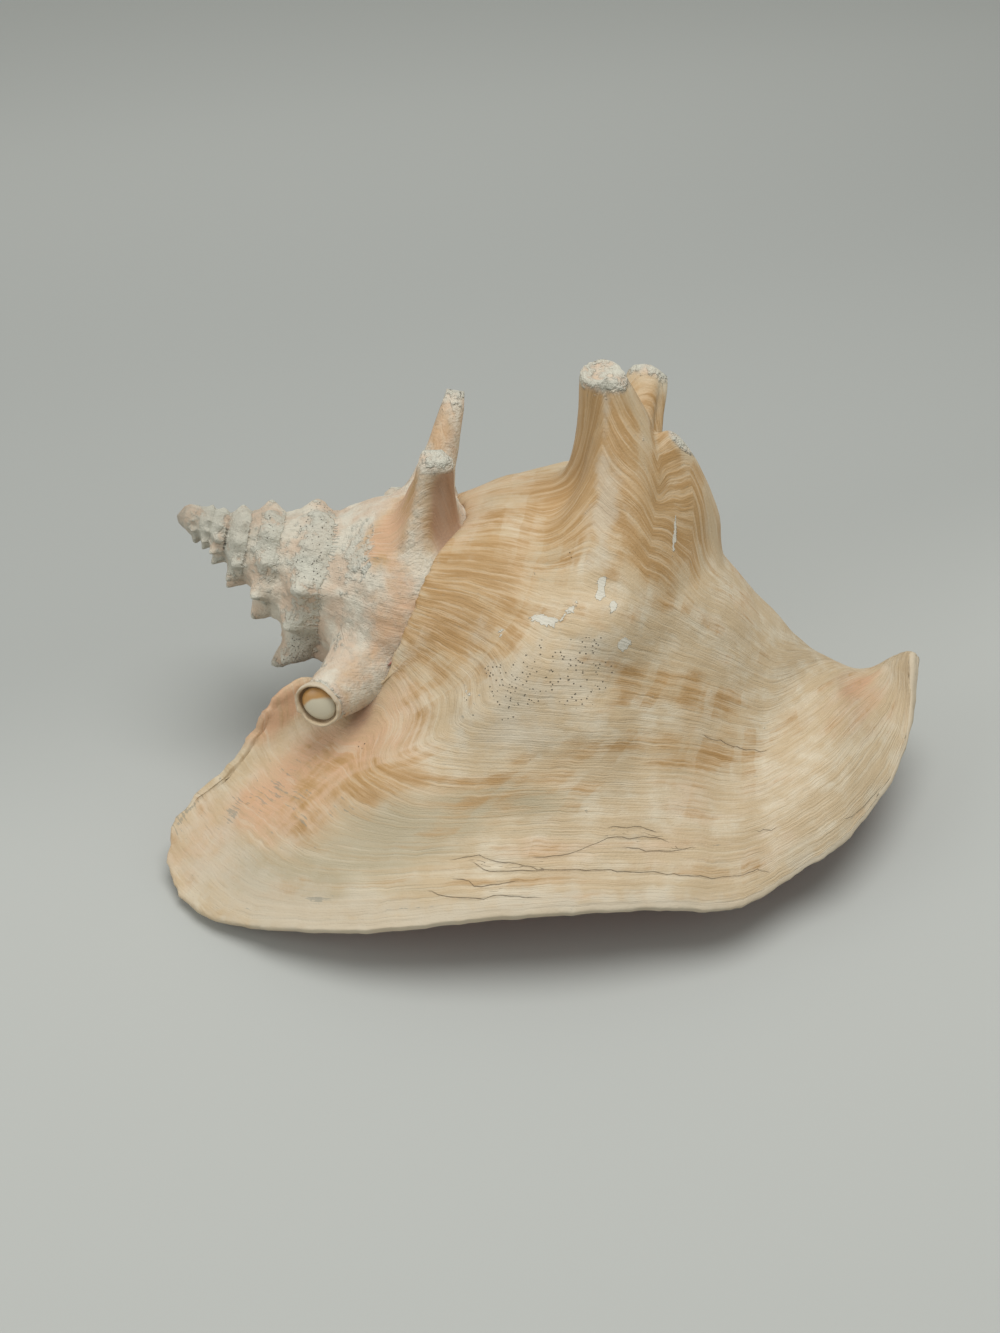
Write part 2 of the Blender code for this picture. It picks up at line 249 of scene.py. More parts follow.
def on_spiral(angle, x, turned=None):
    """A place on the skin. It may stand turned round the axis further than it has grown."""
    turned = np.radians(angle if turned is None else turned)
    r = radius(angle, x) + APEX_BLUNTNESS * np.exp(-((x / APEX_LENGTH) ** 2))
    dome = np.clip((APEX_LENGTH - x) / (APEX_LENGTH - DOME_FROM), 0, 1)
    r = r * np.sqrt(1 - DOME_CLOSING * dome**2)
    bend = np.clip((x - CANAL_BEND_X) / (CANAL_X - CANAL_BEND_X), 0, 1.2)
    lift = CANAL_LIFT * bend**CANAL_LIFT_CURVE
    sag = np.sin(np.pi * np.clip(x / SPIRE_SAG_X, 0, 1)) ** SPIRE_SAG_CURVE
    below = np.maximum(-np.sin(turned), 0) ** HEEL_NARROWNESS
    heel = HEEL_DEPTH * np.exp(-(((x - HEEL_X) / HEEL_LENGTH) ** 2)) * below
    y = r * np.cos(turned) + SPIRE_SAG[0] * sag
    z = r * np.sin(turned) + SPIRE_SAG[1] * sag + lift - heel
    return np.stack([x - DOME_PULL * dome, y, z], -1)


# %% [markdown]
# ## The last whorl and its lip
# A row of 0 is the suture, 1/3 is the shoulder and 1 is the canal. At a growth angle of 130 the
# skin leaves the spiral and flares out to the lip's edge. The edge is an outline in space of
# seventeen points, and beside it is the direction in which the lip is heading there. The edge is
# worn, so it isn't quite smooth: a few ripples make it ragged, most of all on the wing.

# %% Rows, and the lip's edge
SHOULDER = 1 / 3
LIP_EDGE = [
    (0.00, (55, -37, -15)), (0.035, (50.5, -41, -14.5)), (0.06, (47, -44, -18)),
    (0.09, (44.5, -47, -24.5)), (0.12, (43.5, -50, -31)), (0.17, (39, -58, -42)),
    (0.24, (28, -72, -58)), (0.28, (32, -83.5, -65)), (0.33, (46, -95.7, -62)),
    (0.41, (80.5, -106, -40.5)), (0.52, (123.5, -102.5, -19)), (0.62, (163, -92.3, -9.2)),
    (0.69, (186, -84.8, -7.6)), (0.76, (201.5, -71, -4)), (0.85, (220, -50, 5.5)),
    (0.93, (232, -19, 14)), (1.00, (229, 8, 27)),
]
LIP_FLARE = [
    (0.00, (-0.3, 0.4, -0.8)), (0.08, (-0.75, -0.6, -0.3)), (0.24, (-0.7, -0.5, -0.5)),
    (0.33, (-0.2, -0.8, -0.55)), (0.41, (-0.1, -0.85, -0.5)), (0.52, (0.0, -0.88, -0.46)),
    (0.69, (0.15, -0.85, -0.48)), (0.85, (0.5, -0.6, -0.6)), (0.93, (0.6, -0.6, -0.1)),
    (1.00, (0.2, -0.8, 0.4)),
]
LIP_RIPPLES = [(0.5, 190, 1), (0.35, 331, 2), (0.25, 613, 0)]   # (height, how many, shift)
WING_ENDS = 0.34            # the row where the wing goes over into the long side of the lip


def x_at_row(angle, row):
    suture_x, shoulder_x, _ = np.moveaxis(growth(angle), -1, 0)
    ramp = suture_x + (shoulder_x - suture_x) * row / SHOULDER
    below = shoulder_x + (CANAL_X - shoulder_x) * (row - SHOULDER) / (1 - SHOULDER)
    return np.where(row < SHOULDER, ramp, below)


def row_at_x(angle, x):
    suture_x, shoulder_x, _ = np.moveaxis(growth(angle), -1, 0)
    ramp = SHOULDER * (x - suture_x) / (shoulder_x - suture_x)
    below = SHOULDER + (1 - SHOULDER) * (x - shoulder_x) / (CANAL_X - shoulder_x)
    return np.where(x < shoulder_x, ramp, below)


def ragged(row):
    """How far the lip's worn edge stands out at a row."""
    ripples = sum(height * np.sin(many * row + shift) for height, many, shift in LIP_RIPPLES)
    on_wing = 0.25 + 0.75 * smooth((WING_ENDS - row) / 0.08)
    return ripples * smooth(row / 0.05) * on_wing


# %% [markdown]
# ## From the spiral out to the lip
# Each strand of skin leaves the spiral in the direction in which it was going, and arrives at
# the lip's edge in the direction of the flare, so one sweep joins them with no kink. The rows
# beside the suture stay bound to the whorl below them. Where two neighbouring points are, a
# small step apart, tells which way the skin faces.

# %% The skin of the last whorl
FLARE_START = 130.0
BOUND_ROWS = 0.14
CANAL_SPAN = 195.0          # at the canal the whorl goes only this far round
CANAL_ROW = 0.72
STEP_ANGLE = 0.5
STEP_ROW = 0.004


def last_whorl(angle, row):
    first, last = LAST_WHORL
    span = 1 + (CANAL_SPAN / 360 - 1) * smooth((row - CANAL_ROW) / (1 - CANAL_ROW))

    def spiral(at):
        turned = np.where(at > first, first + (at - first) * span, at)
        return on_spiral(at, x_at_row(at, row), turned)

    def spiral_at(one_angle):
        return spiral(np.full_like(angle, one_angle))

    start = spiral_at(FLARE_START)
    heading = unit(spiral_at(FLARE_START + 1) - spiral_at(FLARE_START - 1))
    flare = unit(through(LIP_FLARE, row))
    edge = through(LIP_EDGE, row) + flare * ragged(row)[..., None]
    reach = np.linalg.norm(edge - start, axis=-1, keepdims=True)
    t = np.clip((angle - FLARE_START) / (last - FLARE_START), 0, 1)[..., None]
    lip = swept(t, start, heading * reach, edge, flare * reach)
    bound = spiral(angle) + t**3 * (edge - spiral_at(last))
    lip = bound + (lip - bound) * smooth(row / BOUND_ROWS)[..., None]
    return np.where(angle[..., None] > FLARE_START, lip, spiral(np.minimum(angle, FLARE_START)))


def directions(angle, row):
    """The way the shell grows there, the way to the canal, and the way out."""
    back = np.minimum(row, 1 - STEP_ROW)
    along = last_whorl(angle, back + STEP_ROW) - last_whorl(angle, np.maximum(back - STEP_ROW, 0))
    newer = np.minimum(angle + STEP_ANGLE, LAST_WHORL[1])
    around = last_whorl(newer, row) - last_whorl(angle - STEP_ANGLE, row)
    return unit(around), unit(along), unit(np.cross(around, along))


def behind(angle, row, wall):
    return last_whorl(angle, row) - directions(angle, row)[2] * wall[..., None]


# %% [markdown]
# ## Sheets
# Blender's grid is a flat sheet of square faces. Every skin here starts as one, and each of its
# points is then moved to where the growth says. The growth angle and the x go into the mesh, and
# later into a UV map, so that the colours can follow the growth wherever the skin is pulled to.

# %% A sheet of faces
def sheet(columns, rows, place):
    bm = bmesh.new()
    bmesh.ops.create_grid(bm, x_segments=columns, y_segments=rows, size=1)
    column = np.array([(vert.co.x + 1) / 2 * columns for vert in bm.verts]).round()
    row = np.array([(vert.co.y + 1) / 2 * rows for vert in bm.verts]).round()
    points, angles, spans = place(column, row)
    age = bm.verts.layers.float.new("age")
    span = bm.verts.layers.float.new("span")
    for vert, co, vert_age, vert_span in zip(bm.verts, points, angles, spans):
        vert.co = co
        vert[age] = vert_age
        vert[span] = vert_span
    mesh = bpy.data.meshes.new("sheet")
    bm.to_mesh(mesh)
    bm.free()
    return mesh


# %% [markdown]
# ## The spire
# The older whorls are one long strip that winds seven times round the axis. Each column of the
# sheet runs from one suture to the next, and where two whorls meet their points fall together,
# so merging doubles closes the seam. In the last turn the strip goes on a little under the next
# whorl, which laps over it.

# %% The spire's strip
SPIRE_COLUMNS = 300         # in each turn
SPIRE_ROWS = 24
TUCK_COLUMNS = 10           # the strip goes on this far under the start of the last whorl
TUCK_DEPTH = 4.5
TUCK_INSET = 0.4
TUCK_BLEND = 20.0           # degrees over which the strip's edge goes down under the lap
INSET_BLEND = 4.0


def spire_strip(column, row):
    first = LAST_WHORL[0]
    angle = first - 360 * SPIRE_TURNS + 360 * column / SPIRE_COLUMNS
    tucked = 360 * TUCK_COLUMNS / SPIRE_COLUMNS
    suture_x = growth(angle)[..., 0]
    next_x = growth(angle + 360)[..., 0]
    next_x = next_x + TUCK_DEPTH * smooth((angle - (first + tucked - 360)) / TUCK_BLEND)
    x = suture_x + (next_x - suture_x) * row / SPIRE_ROWS
    points = on_spiral(angle, x)
    inwards = unit(points * [0, 1, 1])
    points = points - inwards * (TUCK_INSET * smooth((angle - first) / INSET_BLEND))[..., None]
    return points, angle, x


# %% [markdown]
# ## The rim
# At the lip and round the canal the outer skin ends in half of a rounded rim, and the lining
# brings the other half. A rim needs closer points than the open skin, so it has steps of its
# own, which go from 0, on the skin, to 1, in the middle of the edge. A worn rim isn't quite
# round: a power below 1 makes it a little square.

# %% Half of a rounded rim
LIP_THICKNESS = 3.2
RIM_STEPS = 5
RIM_SQUARENESS = 0.6
LIP_RIM_ANGLE = 4.0         # the rim rounds the lip over this many degrees
CANAL_RIM_ROWS = 0.03
THIN_ROWS = 0.08            # beside the suture, and at the start of the whorl, the wall is thin
THIN_ANGLE = 30.0


def rim_half(angle, row, lip_step, canal_step, side):
    """A point of the rim's outer half, where the side is 1, or of its inner half, where it is -1."""
    first, last = LAST_WHORL
    grows, along, out = directions(angle, row)
    half = LIP_THICKNESS / 2 * smooth(row / THIN_ROWS) * smooth((angle - first) / THIN_ANGLE)
    lip, canal = lip_step * math.pi / 2, canal_step * math.pi / 2
    at_lip = smooth((angle - last) / LIP_RIM_ANGLE + 1)
    at_canal = smooth((row - 1) / CANAL_RIM_ROWS + 1)
    round_lip = (1 - np.sin(lip) ** RIM_SQUARENESS) * at_lip
    round_canal = (1 - np.sin(canal) ** RIM_SQUARENESS) * at_canal
    depth = 1 - side * np.maximum(np.cos(lip) * np.cos(canal), 0) ** RIM_SQUARENESS
    return (
        last_whorl(angle, row) - grows * (half * round_lip)[..., None]
        - along * (half * round_canal)[..., None] - out * (half * depth)[..., None]
    )


# %% [markdown]
# ## The last whorl's outer skin
# The newest strip of shell laps over the older whorl with a thin, worn edge. So the first rows
# of this sheet come up out of the spire, round the edge, and only then follow the growth. The
# columns stand closer together on the side that shows most.

# %% The last whorl's sheet
BODY_COLUMNS = 392
BODY_ROWS = 180
CORNER_ROWS = 30            # the rows down to the corner of the aperture
NEAR_SIDE = 60.0            # from this growth angle on the columns stand closer together
NEAR_CLOSER = 1.7
LAP_ROWS = 3
LAP_PROFILE = [(0, (-1.4, 0.1)), (1, (-0.3, -0.15)), (2, (0.45, -0.1)), (3, (1.0, 0.25))]
LAP_HEIGHT = 0.8
LAP_WIDTH = 2.5
LAP_RAGGED = [(1, 9, 1), (0.6, 3, 2)]       # (height, wave, seed)
LAP_RAGGED_WIDTH = 3.0
LAP_STARTS, LAP_ENDS = 15.0, 12.0           # degrees in which the lap rises and sinks away


def age_at(column):
    """The growth angle of a column."""
    first, last = LAST_WHORL
    far = NEAR_SIDE - first
    total = far + (last - NEAR_SIDE) * NEAR_CLOSER
    at = np.clip(column / BODY_COLUMNS, 0, 1) * total
    return np.where(at < far, first + at, NEAR_SIDE + (at - far) / NEAR_CLOSER)


def lap(angle, at, x, row):
    """How far the lapping edge moves the skin, outwards and along it."""
    first, last = LAST_WHORL
    ends = smooth((angle - first) / LAP_STARTS) * smooth((last - angle) / LAP_ENDS)
    up, on = np.moveaxis(through(LAP_PROFILE, np.minimum(row, LAP_ROWS)), -1, 0)
    past = np.maximum(x - growth(angle)[..., 0], 0)
    raised = np.where(up > 0, up * ends * LAP_HEIGHT, up) * np.exp(-((past / LAP_WIDTH) ** 2))
    jags = sum(height * waver(angle, wave, seed) for height, wave, seed in LAP_RAGGED)
    moved_on = (on * np.exp(-past) + jags * np.exp(-past / LAP_RAGGED_WIDTH)) * ends
    return raised, moved_on


def outer_skin(column, row):
    angle = age_at(column)
    at = np.clip((row - LAP_ROWS) / BODY_ROWS, 0, 1)
    x = x_at_row(angle, at)
    lip_step = np.clip((column - BODY_COLUMNS) / RIM_STEPS, 0, 1)
    canal_step = np.clip((row - LAP_ROWS - BODY_ROWS) / RIM_STEPS, 0, 1)
    _, along, out = directions(angle, at)
    raised, moved_on = lap(angle, at, x, row)
    points = rim_half(angle, at, lip_step, canal_step, side=1)
    return points + out * raised[..., None] + along * moved_on[..., None], angle, x


# %% [markdown]
# ## The lining of the aperture
# The inside starts at the middle of the rim's edge, rounds the other half of the rim, and winds
# inwards between the lip and the pillar. Its columns go along the lip's edge, back round the
# canal and up the pillar, to the corner where both ends meet. The wall grows thicker inwards.

# %% How deep the lining lies
BODY_THICKNESS = 5.0
CAVITY_DEPTH = 165.0        # the lining goes this many degrees in
CAVITY_CURVE = 1.4          # its rows stand closer together near the rim
CANAL_CLOSING = 0.16
LINING_ROWS = 22
CORNER_ROW = 0.05
LIP_COLUMNS = BODY_ROWS + RIM_STEPS
CANAL_COLUMNS = BODY_COLUMNS + RIM_STEPS
PILLAR_COLUMNS = LIP_COLUMNS - CORNER_ROWS


def depths(depth):
    """What all three parts of the lining share: where each depth lies, and how thick the wall is."""
    first, last = LAST_WHORL
    deep = np.clip((depth - RIM_STEPS) / (LINING_ROWS - RIM_STEPS), 0, 1)
    inside = smooth(deep * 5)
    return SimpleNamespace(
        rim_step=np.clip(1 - depth / RIM_STEPS, 0, 1), on_rim=deep == 0, deep=deep, inside=inside,
        lip_angle=last - CAVITY_DEPTH * deep**CAVITY_CURVE,
        pillar_angle=first - CAVITY_DEPTH * (depth / LINING_ROWS) ** CAVITY_CURVE,
        last_row=1 - CANAL_CLOSING * deep**0.8,
        wall=(BODY_THICKNESS - LIP_THICKNESS) * deep * inside,
    )


# %% The three sides of the lining
def lip_side(column, at):
    """Along the lip: points, rows, the corner by the suture, and how near each point is to it."""
    share = np.clip(column / BODY_ROWS, 0, 1)
    canal_step = np.clip((column - BODY_ROWS) / RIM_STEPS, 0, 1) * at.on_rim
    first_row = CORNER_ROW * at.inside
    row = first_row + (at.last_row - first_row) * share
    thicker = at.wall * smooth(share / 0.08)
    points = rim_half(at.lip_angle, row, at.rim_step, canal_step, side=-1)
    points = points - directions(at.lip_angle, row)[2] * thicker[..., None]
    corner = behind(at.lip_angle, first_row, (LIP_THICKNESS + at.wall) * at.inside)
    return points, row, corner, 1 - smooth(share / 0.1)


def canal_side(column, at):
    """Back round the canal. Inwards its rim narrows to the gap between the lip and the pillar."""
    first, last = LAST_WHORL
    back = CANAL_COLUMNS - np.clip(column - LIP_COLUMNS, 0, CANAL_COLUMNS)
    share = (last - age_at(back)) / (last - first)
    lip_step = np.clip((back - BODY_COLUMNS) / RIM_STEPS, 0, 1) * at.on_rim
    angle = at.lip_angle + (at.pillar_angle - at.lip_angle) * share
    points = rim_half(angle, at.last_row, lip_step, at.rim_step, side=-1)
    points = points - directions(angle, at.last_row)[2] * (at.wall * (1 - share))[..., None]
    lip_end = behind(at.lip_angle, at.last_row, LIP_THICKNESS + at.wall)
    pillar_end = last_whorl(at.pillar_angle, at.last_row)
    gap = lip_end + (pillar_end - lip_end) * share[..., None]
    return points + (gap - points) * smooth(at.deep * 2.2)[..., None], angle


def pillar_side(column, at):
    """Up the pillar, with the same answers as along the lip."""
    past = column - LIP_COLUMNS - CANAL_COLUMNS - RIM_STEPS
    share = np.clip(past / (BODY_ROWS - CORNER_ROWS), 0, 1)
    suture_x = growth(at.pillar_angle + 360)[..., 0]
    top_row = row_at_x(at.pillar_angle, suture_x) + CORNER_ROW * at.inside
    row = at.last_row + (top_row - at.last_row) * share
    corner = last_whorl(at.pillar_angle, top_row)
    return last_whorl(at.pillar_angle, row), row, corner, 1 - smooth((1 - share) / 0.15)


# %% The lining's sheet
def lining(column, depth):
    at = depths(depth)
    lip, lip_row, lip_corner, lip_near = lip_side(column, at)
    canal, canal_angle = canal_side(column, at)
    pillar, pillar_row, pillar_corner, pillar_near = pillar_side(column, at)
    corner = (lip_corner + pillar_corner) / 2
    lip = lip + (corner - lip_corner) * lip_near[..., None]
    pillar = pillar + (corner - pillar_corner) * pillar_near[..., None]

    sides = [column <= LIP_COLUMNS, column >= LIP_COLUMNS + CANAL_COLUMNS]
    angle = np.select(sides, [at.lip_angle, at.pillar_angle], canal_angle)
    row = np.select(sides, [lip_row, pillar_row], at.last_row)
    points = np.select([side[..., None] for side in sides], [lip, pillar], canal)
    return points, angle, x_at_row(angle, row)


print("lining:", LIP_COLUMNS, "+", CANAL_COLUMNS, "+", PILLAR_COLUMNS, "columns,", LINING_ROWS, "rows")


# %% [markdown]
# ## Spines
# A conch folds the edge of its skin out into a spine, so each spine is the skin itself, drawn
# out. The same is done here: the points inside an oval on the skin are moved on to a horn, ring
# by ring and in order, so that the growth lines run up the horn as they do on the real one.
# A horn says where its foot is and how large its oval, where its tip comes, and how thick the
# tip is. Folds push its flanks in or out along one direction, and a broken tip is hollow. The
# tallest one also has a tent: on one side its skin starts further out and hangs more loosely.

# %% The spines of the shell
SPINE_TAPER = 2.2
SPINES = {
    "knob": dict(angle=80, x=147, long=18, wide=18, tip_at=(140, 13.5, 60), tip=5, taper=1.4),
    "dorsal": dict(
        angle=79, x=119, long=22, wide=26, tip_at=(107.3, 8, 88), tip=6.2, taper=7, hollow=2.2,
        tent=dict(long=34, wide=42, taper=1.2, sector=(-25, 112), soft=45),
        folds=(
            (98, 22, ((0, 0), (0.3, -4.5), (0.6, -4.5), (1, 0))),
            (72, 9, ((0, 0), (0.15, -1.4), (0.8, -1.6), (1, -2.6))),
        ),
    ),
    "second": dict(
        angle=40, x=128, long=21, wide=20, tip_at=(126.5, 64, 63.5), tip=6.2, taper=2.6,
        folds=(
            (-75, 22, ((0, 0), (0.5, -1.8), (1, -2.8))),
            (45, 16, ((0, 0), (0.3, -1.8), (1, -1.4))),
        ),
    ),
    "back": dict(angle=-2, x=104, long=18, wide=18, tip_at=(101, 65, 2), tip=5),
    "foot": dict(angle=-45, x=93, long=17, wide=18, tip_at=(93, 56, -58), tip=7.5),
    "near": dict(
        angle=-262, x=73.5, long=11, wide=20, tip_at=(70.5, -7, 54), tip=4.6, taper=2.4,
        folds=(
            (124, 14, ((0, 0), (0.1, 2.6), (0.6, 1.0), (1, 0))),
            (62, 30, ((0, 0), (0.1, -2.2), (0.6, -2.6), (1, 0))),
        ),
    ),
    "far": dict(angle=-300, x=71, long=10, wide=11, tip_at=(70, 32, 53.5), tip=3.5, taper=2.8),
    "stub": dict(angle=-168, x=68, long=15, wide=14, tip_at=(59, -54, -9), tip=6.8, hollow=3.0),
    "hidden": dict(angle=-345, x=62, long=7, wide=8, tip_at=(61, 30, 12), tip=3),
}


def foot_points(angle, x):
    """A spine's foot on the plain spiral, with the points one step along x and one of growth on."""
    steps = ((0, 0), (0, 1), (1, 0))
    return [on_spiral(np.array(float(angle + grow)), np.array(float(x + move))) for grow, move in steps]


def spine_frame(foot, on_x, on_angle):
    """The foot again, with the directions along the axis, around it and outwards."""
    along = unit(on_x - foot)
    around = on_angle - foot
    around = unit(around - along * (around @ along))
    return foot, along, around, np.cross(around, along)


# %% [markdown]
# ## One spine
# A horn's outline runs up its flank and over its tip. For each ring of skin the outline says how
# much of the oval is left, and how high the ring comes. Rings are spaced by the length along the
# outline, so the skin is drawn out evenly and no ring of faces becomes very long.

# %% The outline of a horn
FLANK_RINGS = 40
CAP_RINGS = 12
ROUND_CAP = 3.0             # a round tip's dome is a third of the tip's radius high
BROKEN_CAP = 6.0


def horn_outline(height, mean, tip, taper, hollow):
    """Along the outline: the length so far, the oval's share, the tip's share, and the height."""
    flank = np.linspace(1, 0, FLANK_RINGS)
    cap = np.linspace(1, 0, CAP_RINGS)[1:]
    dome = tip / ROUND_CAP * cap**2
    if hollow:
        dome = tip / BROKEN_CAP * (1 - np.abs(cap - 0.8)) + hollow * smooth((0.85 - cap) / 0.4)
    oval = np.concatenate([flank, cap * 0])
    on_tip = np.concatenate([flank * 0 + 1, cap])
    rise = np.concatenate([(height - tip / ROUND_CAP) * (1 - flank) ** taper, height - dome])
    out = oval * (mean - tip) + tip * on_tip
    length = np.concatenate([[0], np.cumsum(np.hypot(np.diff(out), np.diff(rise)))])
    return length / length[-1], oval, on_tip, rise


def folded(facing, part, folds):
    """How far the folds push the flank out, for the side it faces and the part of the height."""
    swell = np.zeros(len(part))
    for direction, spread, push in folds:
        apart = (facing - direction + 180) % 360 - 180
        swell += np.interp(part, *zip(*push)) * np.exp(-((apart / spread) ** 2))
    return swell


# %% Drawing a spine out of the skin
SKIN_DEPTH = 0.9            # skin further from the foot's plane than this share isn't moved
SMALLEST = 1e-6


def raise_spine(points, frame, long, wide, tip_at, tip, taper=SPINE_TAPER, hollow=0.0, folds=(), tent=None):
    """Moves the skin's points on to the horn, and says how far up the horn each one is."""
    if tent:
        slender, slender_part = raise_spine(points, frame, long, wide, tip_at, tip, taper, hollow)
        long, wide, taper = tent["long"], tent["wide"], tent["taper"]
    foot, along, around, up = frame
    axis = np.array(tip_at, float) - foot
    height = np.linalg.norm(axis)
    mean = (long + wide) / 2

    offset = points - foot
    a, b, c = offset @ along / long, offset @ around / wide, offset @ up
    distance = np.hypot(a, b)
    inside = (distance < 1) & (np.abs(c) < SKIN_DEPTH * mean)
    length, *outline = horn_outline(height, mean, tip, taper, hollow)
    at = 1 - np.minimum(distance, 1)
    oval, on_tip, rise = (np.interp(at, length, values) for values in outline)
    a, b = a / np.maximum(distance, SMALLEST), b / np.maximum(distance, SMALLEST)
    part = rise / height
    facing = np.degrees(np.arctan2(b, a))
    swell = folded(facing, part, folds)
    new_a = a * (oval * (long - tip) + (tip + swell) * on_tip)
    new_b = b * (oval * (wide - tip) + (tip + swell) * on_tip)
    old_size = np.hypot(a * long, b * wide) * distance
    shrink = (np.hypot(new_a, new_b) / np.maximum(old_size, SMALLEST)) ** 2

    # The horn's cross-section turns from lying in the skin to lying across its own axis.
    turn = smooth(part * 1.6)[:, None] / height**2
    along = unit(along - turn * (along @ axis) * axis)
    around = unit(around - turn * (around @ axis) * axis)
    moved = (
        foot + new_a[:, None] * along + new_b[:, None] * around
        + np.outer(c * np.minimum(shrink, 1), up) + np.outer(part, axis)
    )
    moved, part = np.where(inside[:, None], moved, points), np.where(inside, part, 0)
    if tent:
        first, last = tent["sector"]
        share = smooth((facing - first) / tent["soft"] + 0.5) * smooth((last - facing) / tent["soft"] + 0.5)
        moved = slender + (moved - slender) * share[:, None]
        part = slender_part + (part - slender_part) * share
    return moved, part


# %% [markdown]
# ## Relaxing the skin
# Where the crest's spines run into one another the skin is relaxed, each point a little towards
# the middle of its neighbours, round after round, so that they become one folded tent. Under
# the wing's upper margin the same is done before the spines are raised. There the plain spiral
# is too full, and relaxing it gives the hollow flank that the real one has.

# %% Relaxing
RELAXED_BEFORE = "second"
RELAXED_CREST = ((125, 3, 64), 16.0, 40)        # (centre, size, rounds)
CRISP_TIP = ((107, 8, 88), 9.0)                 # the broken tip stays as it is
HOLLOWS = [((86, -47, 4), 15.0, 300), ((66, -54, -18), 17.0, 300), ((46, -62, -36), 26.0, 400)]
PINNED_LIP = 6.0                                # the last degrees before the lip hardly move


def relax(points, edges, weight, rounds):
    """The points after many small steps towards the middle of their neighbours."""
    edges = edges[(weight[edges] > 0.01).any(axis=1)]
    used, edges = np.unique(edges, return_inverse=True)
    first, second = edges.reshape(-1, 2).T
    part, weight = points[used], 0.5 * weight[used][:, None]
    neighbours = np.bincount(np.concatenate([first, second]), minlength=len(used))[:, None]
    weight[weight < 0.005] = 0
    for _ in range(rounds):
        total = np.zeros_like(part)
        for axis in range(3):
            total[:, axis] = np.bincount(first, part[second, axis], len(used))
            total[:, axis] += np.bincount(second, part[first, axis], len(used))
        part = part + weight * (total / neighbours - part)
    points = points.copy()
    points[used] = part
    return points


def relax_crest(points, edges):
    centre, size, rounds = RELAXED_CREST
    tip, crisp = CRISP_TIP
    away = smooth((np.linalg.norm(points - tip, axis=1) - crisp) / 8)
    return relax(points, edges, nearness(points, centre, size) * away, rounds)


def relax_hollows(points, edges, age, span, lined):
    past_lap = smooth((span - growth(age)[:, 0] - 1) / 4)
    before_lip = smooth((LAST_WHORL[1] - 1.5 - age) / PINNED_LIP)
    for centre, size, rounds in HOLLOWS:
        weight = nearness(points, centre, size) * past_lap * before_lip * ~lined
        points = relax(points, edges, weight, rounds)
    return points


# %% Raising all the spines
def raise_spines(points, edges, is_spire):
    """Raises the spines one after another. Each one's foot lies on the skin as the others left it."""
    feet = [foot_points(spine["angle"], spine["x"]) for spine in SPINES.values()]
    moved = np.concatenate([points, *feet])
    skin = slice(len(points))
    highest = np.zeros(len(points))
    for number, (name, spine) in enumerate(SPINES.items()):
        if not is_spire and spine["angle"] < LAST_WHORL[0]:
            continue
        if name == RELAXED_BEFORE:
            moved[skin] = relax_crest(moved[skin], edges)
        foot = len(points) + 3 * number
        shape = {key: value for key, value in spine.items() if key not in ("angle", "x")}
        moved, part = raise_spine(moved, spine_frame(*moved[foot:foot + 3]), **shape)
        highest = np.maximum(highest, part[skin])
    return moved[skin], highest


# %% [markdown]
# ## Nodules
# Further up the spire the spines are still small, and the sea has worn them down to blunt
# nodules. A loop walks back along the spiral and raises one after another, each as large as its
# whorl allows. Seeded chance makes them uneven, as wear does.

# %% The nodules of the spire
NODULE_LAST = -366.0
NODULE_STEP = 34.0
NODULE_HEIGHT = 0.19        # in each millimetre of x, as all their sizes
NODULE_WIDTH = 0.1
NODULE_LONGER = 1.25
APEX_FREE = 5.0             # there are none on a whorl smaller than this


def raise_nodules(points):
    angle = NODULE_LAST
    raised = np.zeros(len(points))
    dice = np.random.default_rng(5)
    while growth(angle)[0] > APEX_FREE:
        centre_x = growth(angle)[1] * (1 + 0.02 * dice.normal())
        foot, along, around, up = spine_frame(*foot_points(angle, centre_x))
        offset = points - foot
        across = np.hypot(offset @ along / NODULE_LONGER, offset @ around) / (NODULE_WIDTH * centre_x)
        share = np.exp(-(across**1.6)) * (np.abs(offset @ up) < 0.25 * centre_x)
        lower_in_front = 0.9 - 0.4 * math.sin(math.radians(angle))
        height = NODULE_HEIGHT * centre_x * dice.uniform(0.6, 1.3) * lower_in_front
        points = points + np.outer(height * share, up - dice.uniform(0.2, 0.5) * along)
        raised = np.maximum(raised, share)
        angle -= NODULE_STEP + 2 * dice.normal()
    return points, raised


# %% [markdown]
# ## Cracks
# Near the lip the newest layers have split along old edges of growth. Each crack is a jagged line
# across the growth map, given by a few (x, growth angle) points. The skin on the lip's side of
# it lies a little lower, and the crack itself is painted as a dark hair line, a painted shadow of that
# step.

# %% Cracks between the last layers
CRACKS = [
    ((141, 214.5), (144, 212.5), (147, 215.5), (152, 218)),
    ((151, 214.5), (155, 213.5), (159, 207.5), (163, 206), (167, 209)),
    ((158, 204), (162, 202.5), (165, 205)),
    ((161, 211), (166, 212.5), (171, 210.5)),
    ((144, 215), (147, 219), (151, 219), (158, 219.5), (166, 221), (173, 221.5), (182, 222), (185, 226)),
    ((141, 224), (144, 227), (148, 228), (154, 228.5)),
    ((143, 220), (147, 224), (151, 223)),
    ((182, 204), (187, 208)),
    ((168, 163), (176, 165), (186, 168)),
    ((200, 224), (204, 228), (209, 230)),
]
CRACK_STEP = 0.3
CRACK_NONE = 9.0            # the distance where there is no crack at all
CRACK_JAGS = [(0.8, 4.0, 20), (0.5, 1.4, 40)]   # (degrees, wave, seed)


